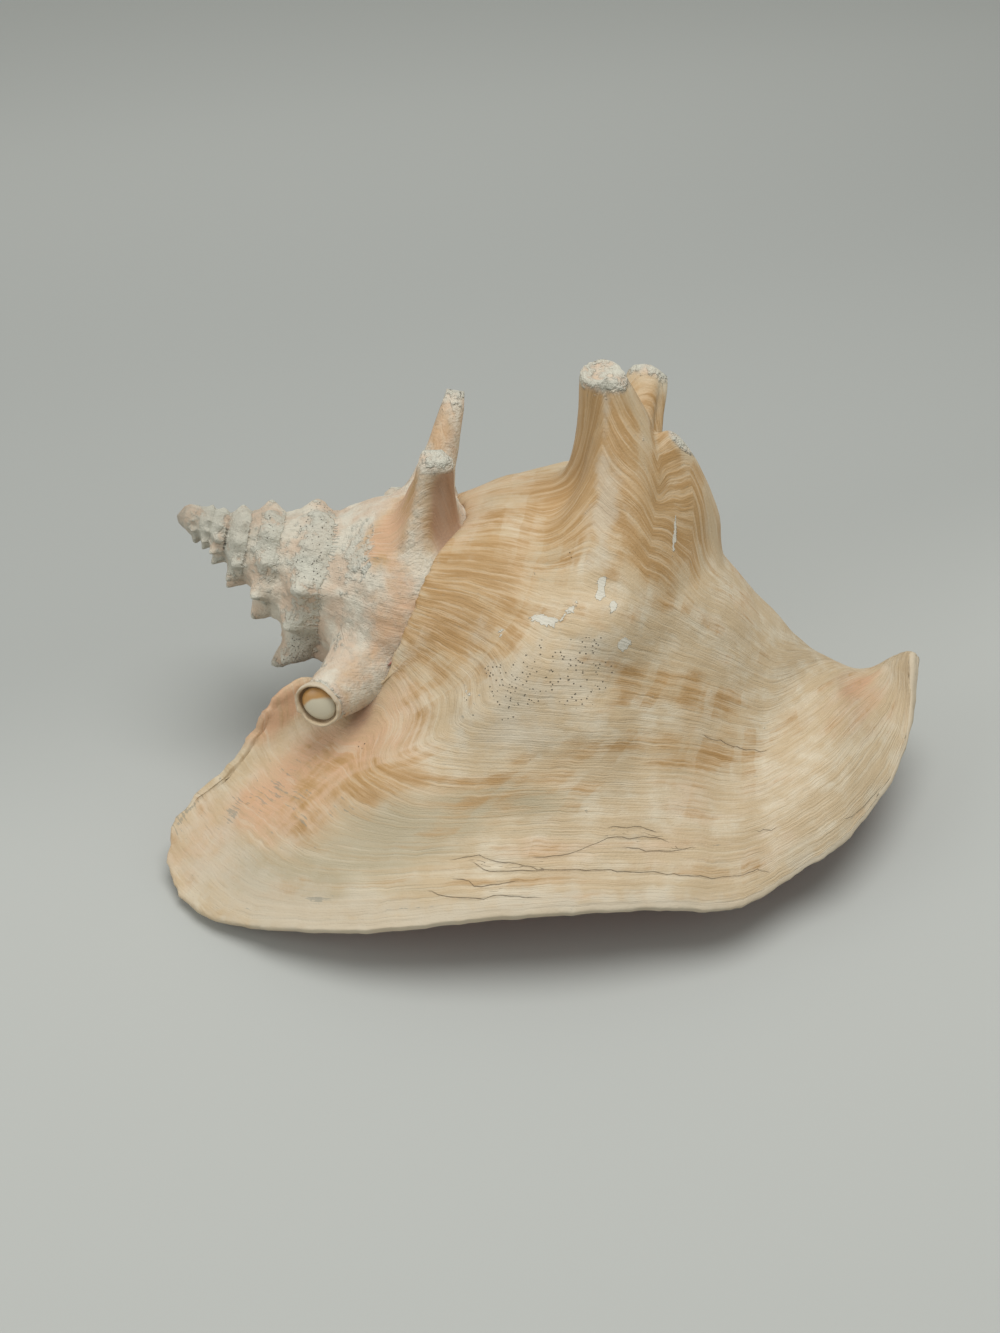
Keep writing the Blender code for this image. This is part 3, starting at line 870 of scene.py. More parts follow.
def crack_distance(age, x):
    """How far past the nearest crack a place is, in degrees, and how open the crack is there."""
    nearest, opening = np.full_like(age, CRACK_NONE), np.zeros_like(age)
    for number, points in enumerate(CRACKS):
        places, ages = zip(*points)
        jagged = sum(size * waver(x, wave, seed + number) for size, wave, seed in CRACK_JAGS)
        apart = age - np.interp(x, places, ages) - jagged
        within = smooth((x - places[0]) / 4 + 0.3) * smooth((places[-1] - x) / 4 + 0.3)
        closer = (np.abs(apart) < np.abs(nearest)) & (within > 0)
        nearest = np.where(closer, apart, nearest)
        opening = np.where(closer, within, opening)
    return nearest, opening


print(len(SPINES), "spines,", len(CRACKS), "cracks")

# %% [markdown]
# ## Worn and uneven
# Nothing that grows is as even as a formula. Soft noise in several sizes lifts the whole skin up
# and down, more finely on the spire, which is worn. Low knobs and dents stand where the animal
# had trouble: behind the crest, on the long folds of the back, and at the tip of the canal.

# %% Unevenness
LOW_KNOBS = [       # (growth angle, x), size, height
    ((135, 129), 9, 2.2), ((149, 114), 10, 3.0), ((161, 143), 10, 2.4), ((163, 121), 9, 2.4),
    ((150, 140), 10, -1.6), ((136, 150), 12, -2.2), ((118, 110), 11, -1.5), ((180, 172), 14, -1.6),
    ((176, 225), 7, 3.0), ((162, 211), 6, -1.6), ((190, 190), 14, 1.5), ((176, 150), 9, 1.8),
    ((189, 123), 11, 2.2), ((202, 119), 12, 2.6), ((215, 116), 12, 2.0), ((197, 136), 11, -1.6),
    ((210, 134), 11, -1.4),
]
SPIRE_ROUGHNESS, BODY_ROUGHNESS = 2.3, 0.6


def uneven(points, roughness):
    """The lift of soft noise: two sizes of swelling everywhere, and two of roughness."""
    swelling = 0.7 * unevenness(points + 9, 21.0) + 0.55 * unevenness(points, 11.0)
    rough = 0.25 * unevenness(points + 50, 4.5) + 0.15 * unevenness(points, 1.9)
    lift = swelling + roughness * rough
    for (angle, x), size, height in LOW_KNOBS:
        angle, x = np.array([float(angle)]), np.array([float(x)])
        lift += height * nearness(points, last_whorl(angle, row_at_x(angle, x))[0], size)
    return lift


def uneven_spire(points, age, span):
    """Beside the next whorl's lap the skin only swells, so that it never sinks below the lap."""
    lift = uneven(points, SPIRE_ROUGHNESS)
    beside_lap = smooth((span - growth(age + 360)[:, 0] + 9) / 5)
    return lift + (np.maximum(lift, 0.1) - lift) * beside_lap


def uneven_body(points, age, span):
    past, opening = crack_distance(age, span)
    step = smooth(past / 0.6 + 0.5) * np.exp(-np.maximum(past, 0) / 5)
    return uneven(points, BODY_ROUGHNESS) - CRACK_STEP * opening * step


# %% [markdown]
# ## Joining the sheets
# The sheets are joined where their points fall together. What stays open is hidden inside the
# shell, and is filled there, so that each piece is closed and has its faces outwards. In the
# sharp rim by the canal some points lie so close together that they merge too, and the print
# says how many edges that leaves with more or fewer than two faces. The growth map is written
# before the merging, because there whorls of two ages share a point.

# %% Joining
MERGE_DISTANCE = 0.02


def keep_growth(mesh):
    """Writes each corner's growth angle and x, by the hundred, to a UV map."""
    corner = np.empty(len(mesh.loops), int)
    mesh.loops.foreach_get("vertex_index", corner)
    values = np.empty((2, len(mesh.vertices)))
    mesh.attributes["age"].data.foreach_get("value", values[0])
    mesh.attributes["span"].data.foreach_get("value", values[1])
    layer = mesh.uv_layers.new(name="growth")
    layer.data.foreach_set("uv", (values[:, corner].T / 100).astype(np.float32).ravel())


def joined(sheets):
    bm = bmesh.new()
    lining_faces = 0
    for columns, rows, place in sheets:
        mesh = sheet(columns, rows, place)
        keep_growth(mesh)
        bm.from_mesh(mesh)
        bpy.data.meshes.remove(mesh)
        lining_faces = columns * rows if place is lining else 0
    bm.verts.ensure_lookup_table()
    bm.faces.ensure_lookup_table()
    inner = bm.verts.layers.float.new("inner")
    for face in bm.faces[len(bm.faces) - lining_faces:]:
        for vert in face.verts:
            vert[inner] = 1
    bmesh.ops.remove_doubles(bm, verts=bm.verts, dist=MERGE_DISTANCE)
    bmesh.ops.holes_fill(bm, edges=[edge for edge in bm.edges if edge.is_boundary], sides=0)
    bmesh.ops.recalc_face_normals(bm, faces=bm.faces)
    bm.verts.index_update()
    return bm


def put(bm, points):
    for vert, co in zip(bm.verts, points):
        vert.co = co


def as_piece(bm, name):
    """The bmesh as a named object of the scene. Faces of many sides are cut into triangles."""
    bmesh.ops.triangulate(bm, faces=[face for face in bm.faces if len(face.verts) > 4])
    odd_edges = sum(not edge.is_manifold for edge in bm.edges)
    mesh = bpy.data.meshes.new(name)
    bm.to_mesh(mesh)
    bm.free()
    mesh.shade_smooth()
    piece = bpy.data.objects.new(name, mesh)
    bpy.context.scene.collection.objects.link(piece)
    mesh.calc_loop_triangles()
    triangles = len(mesh.loop_triangles)
    print(name, len(mesh.vertices), "points,", triangles, "triangles,", odd_edges, "odd edges")
    return piece


# %% [markdown]
# ## The two pieces
# Spines, nodules and unevenness are added to the joined skin, never to the lining, which the
# animal kept smooth. Last of all the points are turned to how the shell lies.

# %% Building the two pieces
def whorls(name, sheets, is_spire):
    bm = joined(sheets)
    layers = bm.verts.layers.float
    age, span, inner = (
        np.array([vert[layers[name]] for vert in bm.verts]) for name in ("age", "span", "inner"))
    lined = inner > 0
    points = np.array([vert.co[:] for vert in bm.verts])
    edges = np.array([[vert.index for vert in edge.verts] for edge in bm.edges])
    if is_spire:
        moved, nodules = raise_nodules(points)
    else:
        moved, nodules = relax_hollows(points, edges, age, span, lined), np.zeros(len(points))
    moved, spines = raise_spines(moved, edges, is_spire)
    moved = np.where(lined[:, None], points, moved)
    put(bm, moved)
    bm.normal_update()
    out = np.array([vert.normal[:] for vert in bm.verts])
    lift = uneven_spire(moved, age, span) if is_spire else uneven_body(moved, age, span)
    put(bm, lie_down(moved + out * (lift * ~lined)[:, None]))
    piece = as_piece(bm, name)
    raised = piece.data.attributes.new("raised", "FLOAT", "POINT")
    raised.data.foreach_set("value", np.maximum(nodules, spines) * ~lined)
    return piece


body_whorl = whorls(
    "body_whorl",
    [
        (BODY_COLUMNS + RIM_STEPS, LAP_ROWS + BODY_ROWS + RIM_STEPS, outer_skin),
        (LIP_COLUMNS + CANAL_COLUMNS + PILLAR_COLUMNS, LINING_ROWS, lining),
    ],
    is_spire=False,
)
spire = whorls(
    "spire", [(SPIRE_COLUMNS * SPIRE_TURNS + TUCK_COLUMNS, SPIRE_ROWS, spire_strip)],
    is_spire=True,
)


# %% [markdown]
# ## Where the shell is worn, stained or coloured
# An old shell tells its story in patches. The spire and the tips of the spines are chalky where
# the sea and the sand have taken the skin off, the wing is peach, and ochre streaks are strongest
# beside the lap and on the flanks of the spines. Each patch is an oval on the growth map, placed
# one by one. The ovals are added up into attributes of the mesh, and the material breaks their soft
# edges up with noise.

# %% Patches
PATCHES = {         # growth angle, x, the oval's two half-widths, and how strong it is
    "worn": [
        (152, 122, 14, 18, 0.6), (90, 120.5, 10, 1.8, 0.5), (112, 123, 12, 4.5, 0.9),
        (222, 114, 8, 14, 0.4), (228, 127, 6, 14, 0.4), (231, 150, 6, 50, 0.55),
        (150, 100, 7, 5, 0.3), (132, 130, 10, 8, 0.35), (168, 128, 10, 12, 0.5),
    ],
    "chips": [
        (127, 125, 3.0, 1.4, 1.0), (130, 129, 1.9, 1.2, 0.95), (137, 113, 1.5, 3.6, 0.95),
        (138, 136, 2.0, 2.6, 0.75), (133, 119, 3, 3, 0.5), (160, 112, 3, 5, 0.45),
        (145, 106, 3, 4, 0.4), (104, 144, 6, 0.9, 0.8), (-226, 60, 8, 4, 0.6),
        (-150, 74, 12, 5, 0.45),
    ],
    "crust": [
        (-600, 46, 70, 9, 1.0), (-960, 31, 80, 6, 0.9), (-1320, 21, 120, 7, 1.0),
        (-2000, 12, 500, 8, 1.2), (-236, 56, 26, 5, 0.9), (-505, 52, 40, 6, 0.8),
        (-160, 72, 9, 4, 0.6), (-180, 60, 14, 5, 0.5),
    ],
    "pits": [
        (152, 124, 15, 18, 1.0), (-620, 44, 70, 7, 1.2), (-985, 30, 60, 4, 0.7),
        (-505, 52, 30, 6, 0.8), (-232, 57, 18, 6, 0.7), (-164, 72, 8, 4, 1.0),
        (188, 106, 4, 4, 0.8), (120, 113, 7, 6, 0.5),
    ],
    "ochre": [
        (150, 93, 26, 15, 1.0), (124, 92, 14, 14, 0.55), (147, 156, 7, 22, 0.65),
        (172, 160, 8, 17, 0.6), (98, 114, 18, 10, 1.1), (100, 143, 12, 12, 0.9),
        (118, 133, 6, 5, 0.5), (118, 140, 8, 9, 0.4), (190, 138, 12, 16, 0.45),
        (191, 121, 7, 5, 0.55), (202, 112, 5, 4, 0.45), (205, 116, 14, 12, 0.25),
        (223, 152, 2, 7, 0.6), (222, 145, 1.5, 3, 0.5), (219, 172, 2.5, 7, 0.4),
        (-231, 64, 4, 2.5, 1.1), (165, 182, 14, 14, 0.3), (88, 108, 14, 12, 0.4),
        (60, 100, 60, 16, 0.2), (0, 90, 90, 16, 0.3), (20, 150, 60, 30, 0.25),
    ],
    "peach": [
        (208, 108, 22, 15, 1.15), (180, 104, 11, 11, 0.55), (175, 214, 25, 9, 0.5),
        (180, 185, 22, 18, 0.25), (-262, 66, 26, 6, 1.15), (-240, 60, 16, 5, 0.8),
        (-205, 72, 34, 9, 0.8), (-166, 67, 10, 6, 0.7), (231, 80, 9, 9, 1.5),
        (-300, 70, 14, 6, 0.7), (50, 85, 80, 12, 0.4), (212, 165, 7, 22, 0.3),
        (160, 88, 22, 8, 0.4), (166, 212, 6, 6, 0.9),
    ],
    # The mauve ovals hold a mauve tint on a folded spine's face, and a painted shadow in the hollow under
    # the broken spine.
    "mauve_and_shade": [(192, 97, 5, 7, 0.9), (-251, 79.5, 16, 5, 1.7), (240, 66, 12, 10, 0.4)],
    "olive": [
        (192, 137, 8, 9, 0.8), (204, 132, 8, 10, 0.9), (216, 131, 8, 10, 0.8),
        (225, 126, 7, 9, 0.5), (194, 150, 9, 14, 0.4), (222, 119, 6, 9, 0.5),
        (123, 107, 8, 6, 0.45), (165, 122, 8, 8, 0.35), (150, 132, 7, 7, 0.3),
    ],
    "stain": [
        (234, 103, 1.5, 3.5, 0.85), (221, 108, 3, 3.5, 0.6), (227, 130, 1.2, 1.6, 0.9),
        (-228, 57, 13, 6, 0.5), (-640, 45, 20, 4, 0.4), (-600, 48, 60, 4, 0.3),
        (211, 107, 8, 6, 0.35), (204, 118, 8, 8, 0.25),
    ],
}


def add_up(ovals, age, x):
    total = np.zeros_like(age)
    for at_age, at_x, wide, long, strength in ovals:
        total += strength * np.exp(-(((age - at_age) / wide) ** 2) - ((x - at_x) / long) ** 2)
    return total


print({name: len(ovals) for name, ovals in PATCHES.items()})

# %% [markdown]
# ## Wear that follows the shape
# Some wear isn't a patch but follows from the shape: old whorls and the tips of the spines are
# chalky, ochre gathers on the spines' flanks, the lip's edge is worn pale, and the lining's pink
# fades where it nears a rim or a suture. It joins the patches in the mesh's attributes.

# %% Painting the mesh
CHALKY_BEFORE = -300.0      # growth angle of the youngest skin that is chalky all over
EDGE_WEAR_AGE, EDGE_WEAR_X = 231.5, 120.0
LINING_FADES_AGE, LINING_FADES_X = 226.0, 220.0
CRACK_REACH = 1.2


def read(mesh, name):
    values = np.empty(len(mesh.vertices))
    mesh.attributes[name].data.foreach_get("value", values)
    return values


def lining_pink(inner, age, x):
    pink = inner * (1 - smooth((age - LINING_FADES_AGE) / 6)) * (1 - smooth((x - LINING_FADES_X) / 5))
    for suture in (growth(age)[:, 0], growth(age + 360)[:, 0]):
        pink = pink * smooth((np.abs(x - suture) - 1) / 4)
    return pink


def paint(piece):
    mesh = piece.data
    age, x, raised, inner = (read(mesh, name) for name in ("age", "span", "raised", "inner"))
    nearest, opening = crack_distance(age, x)
    tip = smooth((raised - 0.82) / 0.14)
    on_spire = age < LAST_WHORL[0]

    layers = {name: add_up(ovals, age, x) for name, ovals in PATCHES.items()}
    uncoloured = 1 - 0.75 * layers["peach"] - 0.8 * layers["mauve_and_shade"]
    chalky = np.maximum(smooth((CHALKY_BEFORE - age) / 60), uncoloured)
    layers["chalk"] = np.where(on_spire, chalky, 0) + 0.9 * tip
    layers["crust"] += 0.7 * tip
    layers["ochre"] += 0.4 * smooth(raised / 0.25) * (1 - smooth((raised - 0.7) / 0.2))
    layers["worn"] += 0.9 * smooth((age - EDGE_WEAR_AGE) / 2.5) * smooth((x - EDGE_WEAR_X) / 15)
    layers["lining"] = lining_pink(inner, age, x)
    layers["crack"] = nearest
    layers["open"] = opening * (np.abs(nearest) < CRACK_REACH) * ~on_spire
    for name, value in layers.items():
        mesh.attributes.new(name, "FLOAT", "POINT").data.foreach_set("value", value.astype(np.float32))


# %% [markdown]
# ## Laying the growth lines
# The growth map is bent a little in three places: beside the lap, where the lines run level; at
# the crest, where each line has a sharp fold; and on the wing, whose lines run straight off its
# upper margin instead of round with it.

# %% Bending the growth map
LEVELLED = 0.9
FOLDS = [           # x of the fold, degrees in each mm beside it, the fold's middle and its size
    (120, 1.5, 90, 22, 16), (137, -1.3, 98, 18, 9), (150, 1.2, 92, 20, 9),
]
WING_X, WING_BLEND = 138.0, 28.0        # below this x the wing's lines no longer turn with its edge
WING_AGE = (195, -0.58, -0.69)          # there the age and the x are measured straight across it,
WING_SPAN = (22, 0.77, -0.64)           # as a start, and the change in each mm of x and of y


def lay_growth_map(piece):
    mesh = piece.data
    corner = np.empty(len(mesh.loops), int)
    mesh.loops.foreach_get("vertex_index", corner)
    place = np.empty(3 * len(mesh.vertices))
    mesh.vertices.foreach_get("co", place)
    own_x, own_y, own_z = stand_up(place.reshape(-1, 3)[corner])
    layer = mesh.uv_layers["growth"].data
    growth_map = np.empty(2 * len(mesh.loops))
    layer.foreach_get("uv", growth_map)
    age, x = growth_map[::2] * 100, growth_map[1::2] * 100

    beside_lap = smooth((118 - x) / 14) * smooth((age - 132) / 20) * smooth((208 - age) / 18)
    level = np.degrees(np.arctan2(own_z, own_y)) % 360
    laid = age + (level - age) * LEVELLED * beside_lap
    for at_x, slope, at_age, wide, long in FOLDS:
        oval = np.exp(-(((age - at_age) / wide) ** 2) - ((x - at_x) / long) ** 2)
        laid -= slope * np.abs(x - at_x) * oval
    wing = smooth((WING_X - x) / WING_BLEND) * smooth((age - 178) / 20)
    wing_age, wing_span = (
        start + by_x * own_x + by_y * own_y for start, by_x, by_y in (WING_AGE, WING_SPAN))
    laid += (wing_age - laid) * wing
    along = x + (wing_span - x) * wing
    layer.foreach_set("uv", (np.stack([laid, along], -1) / 100).astype(np.float32).ravel())


for piece in (body_whorl, spire):
    paint(piece)
    lay_growth_map(piece)
    print(piece.name, "has", len(piece.data.attributes), "attributes")

# %% [markdown]
# ## Writing materials as sums
# A material's nodes are easier to read as arithmetic. This class wraps one socket, so that the
# ordinary signs add the maths nodes, and one method adds any other node. A few more give short
# names to what every material here needs.

# %% One value of a material
class Wire:
    def __init__(self, tree, socket=None):
        self.tree, self.socket = tree, socket

    def node(self, kind, settings=None, sockets=None, output=0):
        """Adds a node: its settings first, then the values or wires of its sockets."""
        node = self.tree.nodes.new(kind)
        for name, value in (settings or {}).items():
            setattr(node, name, value)
        for name, value in (sockets or {}).items():
            if isinstance(value, Wire):
                self.tree.links.new(value.socket, node.inputs[name])
            else:
                node.inputs[name].default_value = value
        return Wire(self.tree, node.outputs[output])

    def maths(self, operation, *others):
        return self.node("ShaderNodeMath", {"operation": operation}, dict(enumerate((self, *others))))

    def __add__(self, other):
        return self.maths("ADD", other)

    def __mul__(self, other):
        return self.maths("MULTIPLY", other)

    def __sub__(self, other):
        return self.maths("SUBTRACT", other)

    def __rsub__(self, other):
        return self.node("ShaderNodeMath", {"operation": "SUBTRACT"}, {0: other, 1: self})

    def __abs__(self):
        return self.maths("ABSOLUTE")

    __radd__, __rmul__ = __add__, __mul__

    def between(self, low, high):
        """0 below low, 1 above high, and a soft step in between."""
        return self.node(
            "ShaderNodeMapRange", {"interpolation_type": "SMOOTHSTEP"},
            {"Value": self, "From Min": low, "From Max": high},
        )

    def blend(self, share, first, second):
        """The first colour where the share is 0, the second where it is 1."""
        colours = {"Factor": share, 6: first, 7: second}
        return self.node("ShaderNodeMix", {"data_type": "RGBA"}, colours, output=2)

    def over(self, colour, share):
        """This colour, covered by the other one where the share is 1."""
        return self.blend(share, self, colour)

    def painted(self, name):
        """An attribute that was painted on the mesh."""
        return self.node("ShaderNodeAttribute", {"attribute_name": name}, output=2)

    def lumps(self, size, detail=2.0, roughness=0.5):
        """Even noise in the round at this place, with features of about this size in millimetres."""
        return self.node("ShaderNodeTexNoise", {}, {
            "Vector": self, "Scale": 1000 / size, "Detail": detail, "Roughness": roughness})

    def second(self):
        """The y of a node that was split into x, y and z."""
        return Wire(self.tree, self.socket.node.outputs[1])

    def into(self, surface, socket):
        self.tree.links.new(self.socket, surface.inputs[socket])


def new_material(name):
    """A material, its surface, a wire to start from and one for the place on the object."""
    material = bpy.data.materials.new(name)
    material.use_nodes = True
    start = Wire(material.node_tree)
    place = start.node("ShaderNodeTexCoord", output=3)
    return material, material.node_tree.nodes["Principled BSDF"], start, place


# %% [markdown]
# ## The weathered shell
# The growth map carries the growth lines: noise that is drawn out along x and short across the
# growth angle gives fine streaks that run with the lip and climb the spines. Some are ochre, in
# clouds that end where a spiral band ends. Over them lie the chalk of worn places with its small
# pits, white flakes, grey stains, and the cracks beside the lip. The lining is glossy and pink,
# as it is in every shell of this kind.

# %% Colours, all in linear light
CREAM = (0.565, 0.435, 0.27, 1)
PALE = (0.66, 0.57, 0.42, 1)
LINE_TINT = (0.47, 0.335, 0.185, 1)
PEACH_TINT = (0.61, 0.375, 0.225, 1)
OCHRE_GROUND = (0.52, 0.33, 0.15, 1)
OCHRE_STREAK = (0.39, 0.22, 0.075, 1)
OLIVE_TINT = (0.41, 0.355, 0.235, 1)
# a mauve tint, which also serves as painted shadow under the broken spine
MAUVE_AND_SHADE_TINT = (0.40, 0.235, 0.155, 1)
WORN_WHITE = (0.57, 0.50, 0.385, 1)
FLAKE_WHITE = (0.64, 0.61, 0.52, 1)
CHALK_WHITE = (0.66, 0.62, 0.52, 1)
CHALK_WARM = (0.60, 0.48, 0.37, 1)
CHALK_GREY = (0.40, 0.385, 0.32, 1)
STAIN_GREY = (0.24, 0.235, 0.19, 1)
CRUST_GREY = (0.56, 0.55, 0.465, 1)
PIT_SHADE = (0.09, 0.07, 0.05, 1)
PIT_SPACING = 1.1
CRACK_SHADOW_BROWN = (0.17, 0.11, 0.07, 1)
PINK = (0.82, 0.30, 0.22, 1)
DEEP_PINK = (0.55, 0.17, 0.13, 1)


# %% [markdown]
# ## Noises for the shell
# Every pattern here is made of two kinds of noise. Lumps are even in the round, in five sizes.
# Streaks lie on the growth map, and the lumps bend them a little, as an animal that grows in
# fits and starts does. Bands run round the whorl, and are noise of x alone.

# %% Lumps, streaks and bands
BAND_DENSITY = 17


def shell_noises(start, place):
    growth_map = start.node("ShaderNodeUVMap", {"uv_map": "growth"})
    age = growth_map.node("ShaderNodeSeparateXYZ", sockets={0: growth_map})
    span = age.second()
    broad, middling, knobbly = place.lumps(26), place.lumps(8, 3), place.lumps(4, 2)
    small, grain = place.lumps(2.4, 3, 0.6), place.lumps(0.7, 2)
    bent_age = age + (broad - 0.5) * 0.02 + (middling - 0.5) * 0.009 + (knobbly - 0.5) * 0.005
    bent_span = span + (middling - 0.5) * 0.03

    def streaks(across, along, shift=0.0, detail=2.0, roughness=0.5):
        """This many streaks in 100 degrees, and along 100 mm of x."""
        spot = age.node("ShaderNodeCombineXYZ", {}, {0: bent_age * across + shift, 1: span * along})
        return age.node("ShaderNodeTexNoise", {"noise_dimensions": "2D"}, {
            "Vector": spot, "Scale": 1.0, "Detail": detail, "Roughness": roughness})

    return SimpleNamespace(
        age=age, broad=broad, middling=middling, small=small, grain=grain,
        line=streaks(75, 6, 0.0, 3.0, 0.65), broad_line=streaks(34, 4, 5.7),
        thin_line=streaks(210, 9, 7.3, 3), cloud=streaks(12, 8, 3.1, 4, 0.6),
        band=start.node("ShaderNodeTexNoise", {"noise_dimensions": "1D"}, {
            "W": bent_span * BAND_DENSITY, "Scale": 1.0, "Detail": 1.0}),
    )


# %% [markdown]
# ## The colours of living growth
# From the ground up: cream with paler clouds, tints of peach and olive, fine darker and paler
# lines, and the ochre, which is a warm ground with dark streaks on it. Each layer covers the one
# below where its own share is high, so later layers hide earlier ones, as they do on the shell.

# %% Grown colours
def grown_colours(start, of):
    cream = start.blend((of.middling * 0.6 + of.cloud * 0.6).between(0.5, 0.78), CREAM, PALE)
    peach = start.painted("peach") + (of.broad - 0.5) * 1.1 + (of.cloud - 0.5) * 1.1
    olive = start.painted("olive") + (of.broad - 0.5) + (of.broad_line - 0.5) * 0.9
    lines = of.line.between(0.5, 0.68) * 0.4 + of.thin_line.between(0.45, 0.7) * 0.12
    colour = cream.over(PEACH_TINT, peach.between(0.05, 1.1))
    colour = colour.over(OLIVE_TINT, olive.between(0.1, 1.0) * 0.75)
    colour = colour.over(LINE_TINT, lines)
    colour = colour.over(PALE, (1 - of.line.between(0.3, 0.44)) * 0.35)

    ochre = start.painted("ochre") + (of.cloud - 0.5) * 1.7 + (of.broad - 0.5) * 0.5
    patch = (ochre + (of.band.between(0.44, 0.52) - 0.5) * 0.18).between(0.1, 0.85)
    streak = (of.line * 0.6 + of.broad_line * 0.4 + patch * 0.05).between(0.44, 0.64)
    # The mauve share is partly the shell's mauve tint and partly a painted shadow under the broken spine.
    mauve_and_shade = (start.painted("mauve_and_shade") + (of.small - 0.5) * 0.4).between(0.15, 0.9)
    colour = colour.over(OCHRE_GROUND, patch * 0.75)
    colour = colour.over(OCHRE_STREAK, patch * streak * (0.35 + of.cloud * 0.75))
    colour = colour.over(PALE, patch * (1 - of.line.between(0.34, 0.46)) * 0.15)
    return colour.over(MAUVE_AND_SHADE_TINT, mauve_and_shade * 0.8)


# %% [markdown]
# ## Where wear shows
# A worn place isn't a stain with a soft edge. So each painted share has coarse and fine noise
# added before it is cut by a soft step, which breaks its edge up into islands. Pits are the
# cells of a Voronoi texture, and only some of them are open, in crowds. Their near-black colour is painted
# shade in the holes.

# %% Shares of wear
def wear_shares(start, place, of):
    middling, small, grain = of.middling - 0.5, of.small - 0.5, of.grain - 0.5
    hole = place.node("ShaderNodeTexVoronoi", {}, {
        "Vector": place, "Scale": 1000 / PIT_SPACING, "Randomness": 1.0})
    crowd = (start.painted("pits") + middling * 1.6).between(0.4, 0.9)
    hair_line = 1 - abs(start.painted("crack") + grain * 0.1).between(0.03, 0.2)
    return SimpleNamespace(
        worn=(start.painted("worn") + middling * 1.2 + small * 0.6).between(0.15, 0.85),
        chalk=(start.painted("chalk") + middling * 0.5 + small * 0.3).between(0.3, 0.75),
        flake=(start.painted("chips") + small * 1.3 + grain * 0.3).between(0.44, 0.50),
        stain=(start.painted("stain") + small * 1.3 + (of.thin_line - 0.5) * 1.8).between(0.5, 0.66),
        crust=(start.painted("crust") + small * 1.6 + middling * 0.8).between(0.4, 0.75),
        pit=(1 - hole.between(0.13, 0.24)) * (crowd + place.lumps(3, 0) - 0.5).between(0.36, 0.52),
        crack=hair_line * start.painted("open").between(0.1, 0.6),
    )


# %% The shell's material
def weathered_shell():
    material, surface, start, place = new_material("weathered_shell")
    of = shell_noises(start, place)
    share = wear_shares(start, place, of)
    inner = start.painted("lining")

    chalk = start.blend(of.middling.between(0.4, 0.62), CHALK_WARM, CHALK_WHITE)
    chalk = chalk.over(CHALK_GREY, (of.broad * 0.5 + of.small * 0.5).between(0.5, 0.66) * 0.55)
    pink = start.blend((2.2 - of.age).between(0.0, 0.8), PINK, DEEP_PINK)
    colour = grown_colours(start, of)
    for layer, strength in (
        (WORN_WHITE, share.worn * 0.6),
        (chalk, share.chalk * 0.85),
        (FLAKE_WHITE, share.flake * 0.9),
        (STAIN_GREY, share.stain * 0.55),
        (CRUST_GREY, share.crust * 0.75),
        (STAIN_GREY, share.crust * (1 - of.small.between(0.3, 0.42)) * 0.4),
        # the pits' near-black colour is painted shade inside the holes
        (PIT_SHADE, share.pit * 0.8),
        # the crack's dark hair line is a painted shadow of the step beside it
        (CRACK_SHADOW_BROWN, share.crack * (of.small * 1.6).between(0.3, 1.1) * 0.85),
        (pink, inner.between(0.35, 0.8)),
    ):
        colour = colour.over(layer, strength)
    colour.into(surface, "Base Color")

    gloss = 0.55 + share.chalk * 0.25 + share.worn * 0.1 + share.flake * 0.1
    (gloss + (of.grain - 0.5) * 0.15 - inner * 0.35).into(surface, "Roughness")
    height = (
        of.line * 0.55 + of.thin_line * 0.3 + of.grain * 0.25 * (1 + share.chalk * 1.5)
        + share.chalk * of.small * 1.4 - share.pit * 1.2 - share.crack * 0.5
        + share.crust * of.small * 1.6 + share.flake * 0.7
    ) * (1 - inner)
    bump = height.node("ShaderNodeBump", {}, {"Strength": 0.8, "Distance": 0.0006, "Height": height})
    bump.into(surface, "Normal")
    return material


# %% [markdown]
# ## The broken spine beside the lap
# The spine that points towards us is broken off. A broken spine shows how it grew: a thick tube
# of shell, and in it a plug that the animal made later to close the hollow. The end is a profile
# that is spun round the spine's own axis, with a ragged rim.

# %% The broken end
STUB_PROFILE = [
    (6.3, -4.0), (7.0, -1.8), (7.2, -0.4), (7.0, 0.4), (6.6, 0.55), (6.2, 0.2), (6.0, -0.8),
    (5.75, -1.3), (5.5, -1.2), (5.1, -0.6), (4.0, 0.0), (2.2, 0.45), (0.0, 0.6),
]
STUB_OVAL = 0.9
STUB_FACING = (2.0, -6.0, 5.0)                      # the break leans this much towards the front
STUB_OUT = 0.4
STUB_RAGGED, STUB_RAGGED_SIZE = 0.9, 2.2
STUB_RIM = 5.8                                      # the plug inside this radius isn't ragged
CRESCENT_SIDE = unit(np.array([-0.8, 0.3, 0.7]))    # an orange crescent beside the plug


def spun_profile():
    bm = bmesh.new()
    corners = [bm.verts.new((out, 0, up)) for out, up in STUB_PROFILE]
    edges = [bm.edges.new(pair) for pair in zip(corners, corners[1:])]
    bmesh.ops.spin(
        bm, geom=corners + edges, cent=(0, 0, 0), axis=(0, 0, 1), dvec=(0, 0, 0),
        angle=2 * math.pi, steps=72, use_merge=True, use_duplicate=False)
    bmesh.ops.remove_doubles(bm, verts=bm.verts, dist=0.01)
    bmesh.ops.holes_fill(bm, edges=[edge for edge in bm.edges if edge.is_boundary], sides=0)
    bmesh.ops.recalc_face_normals(bm, faces=bm.faces)
    return bm


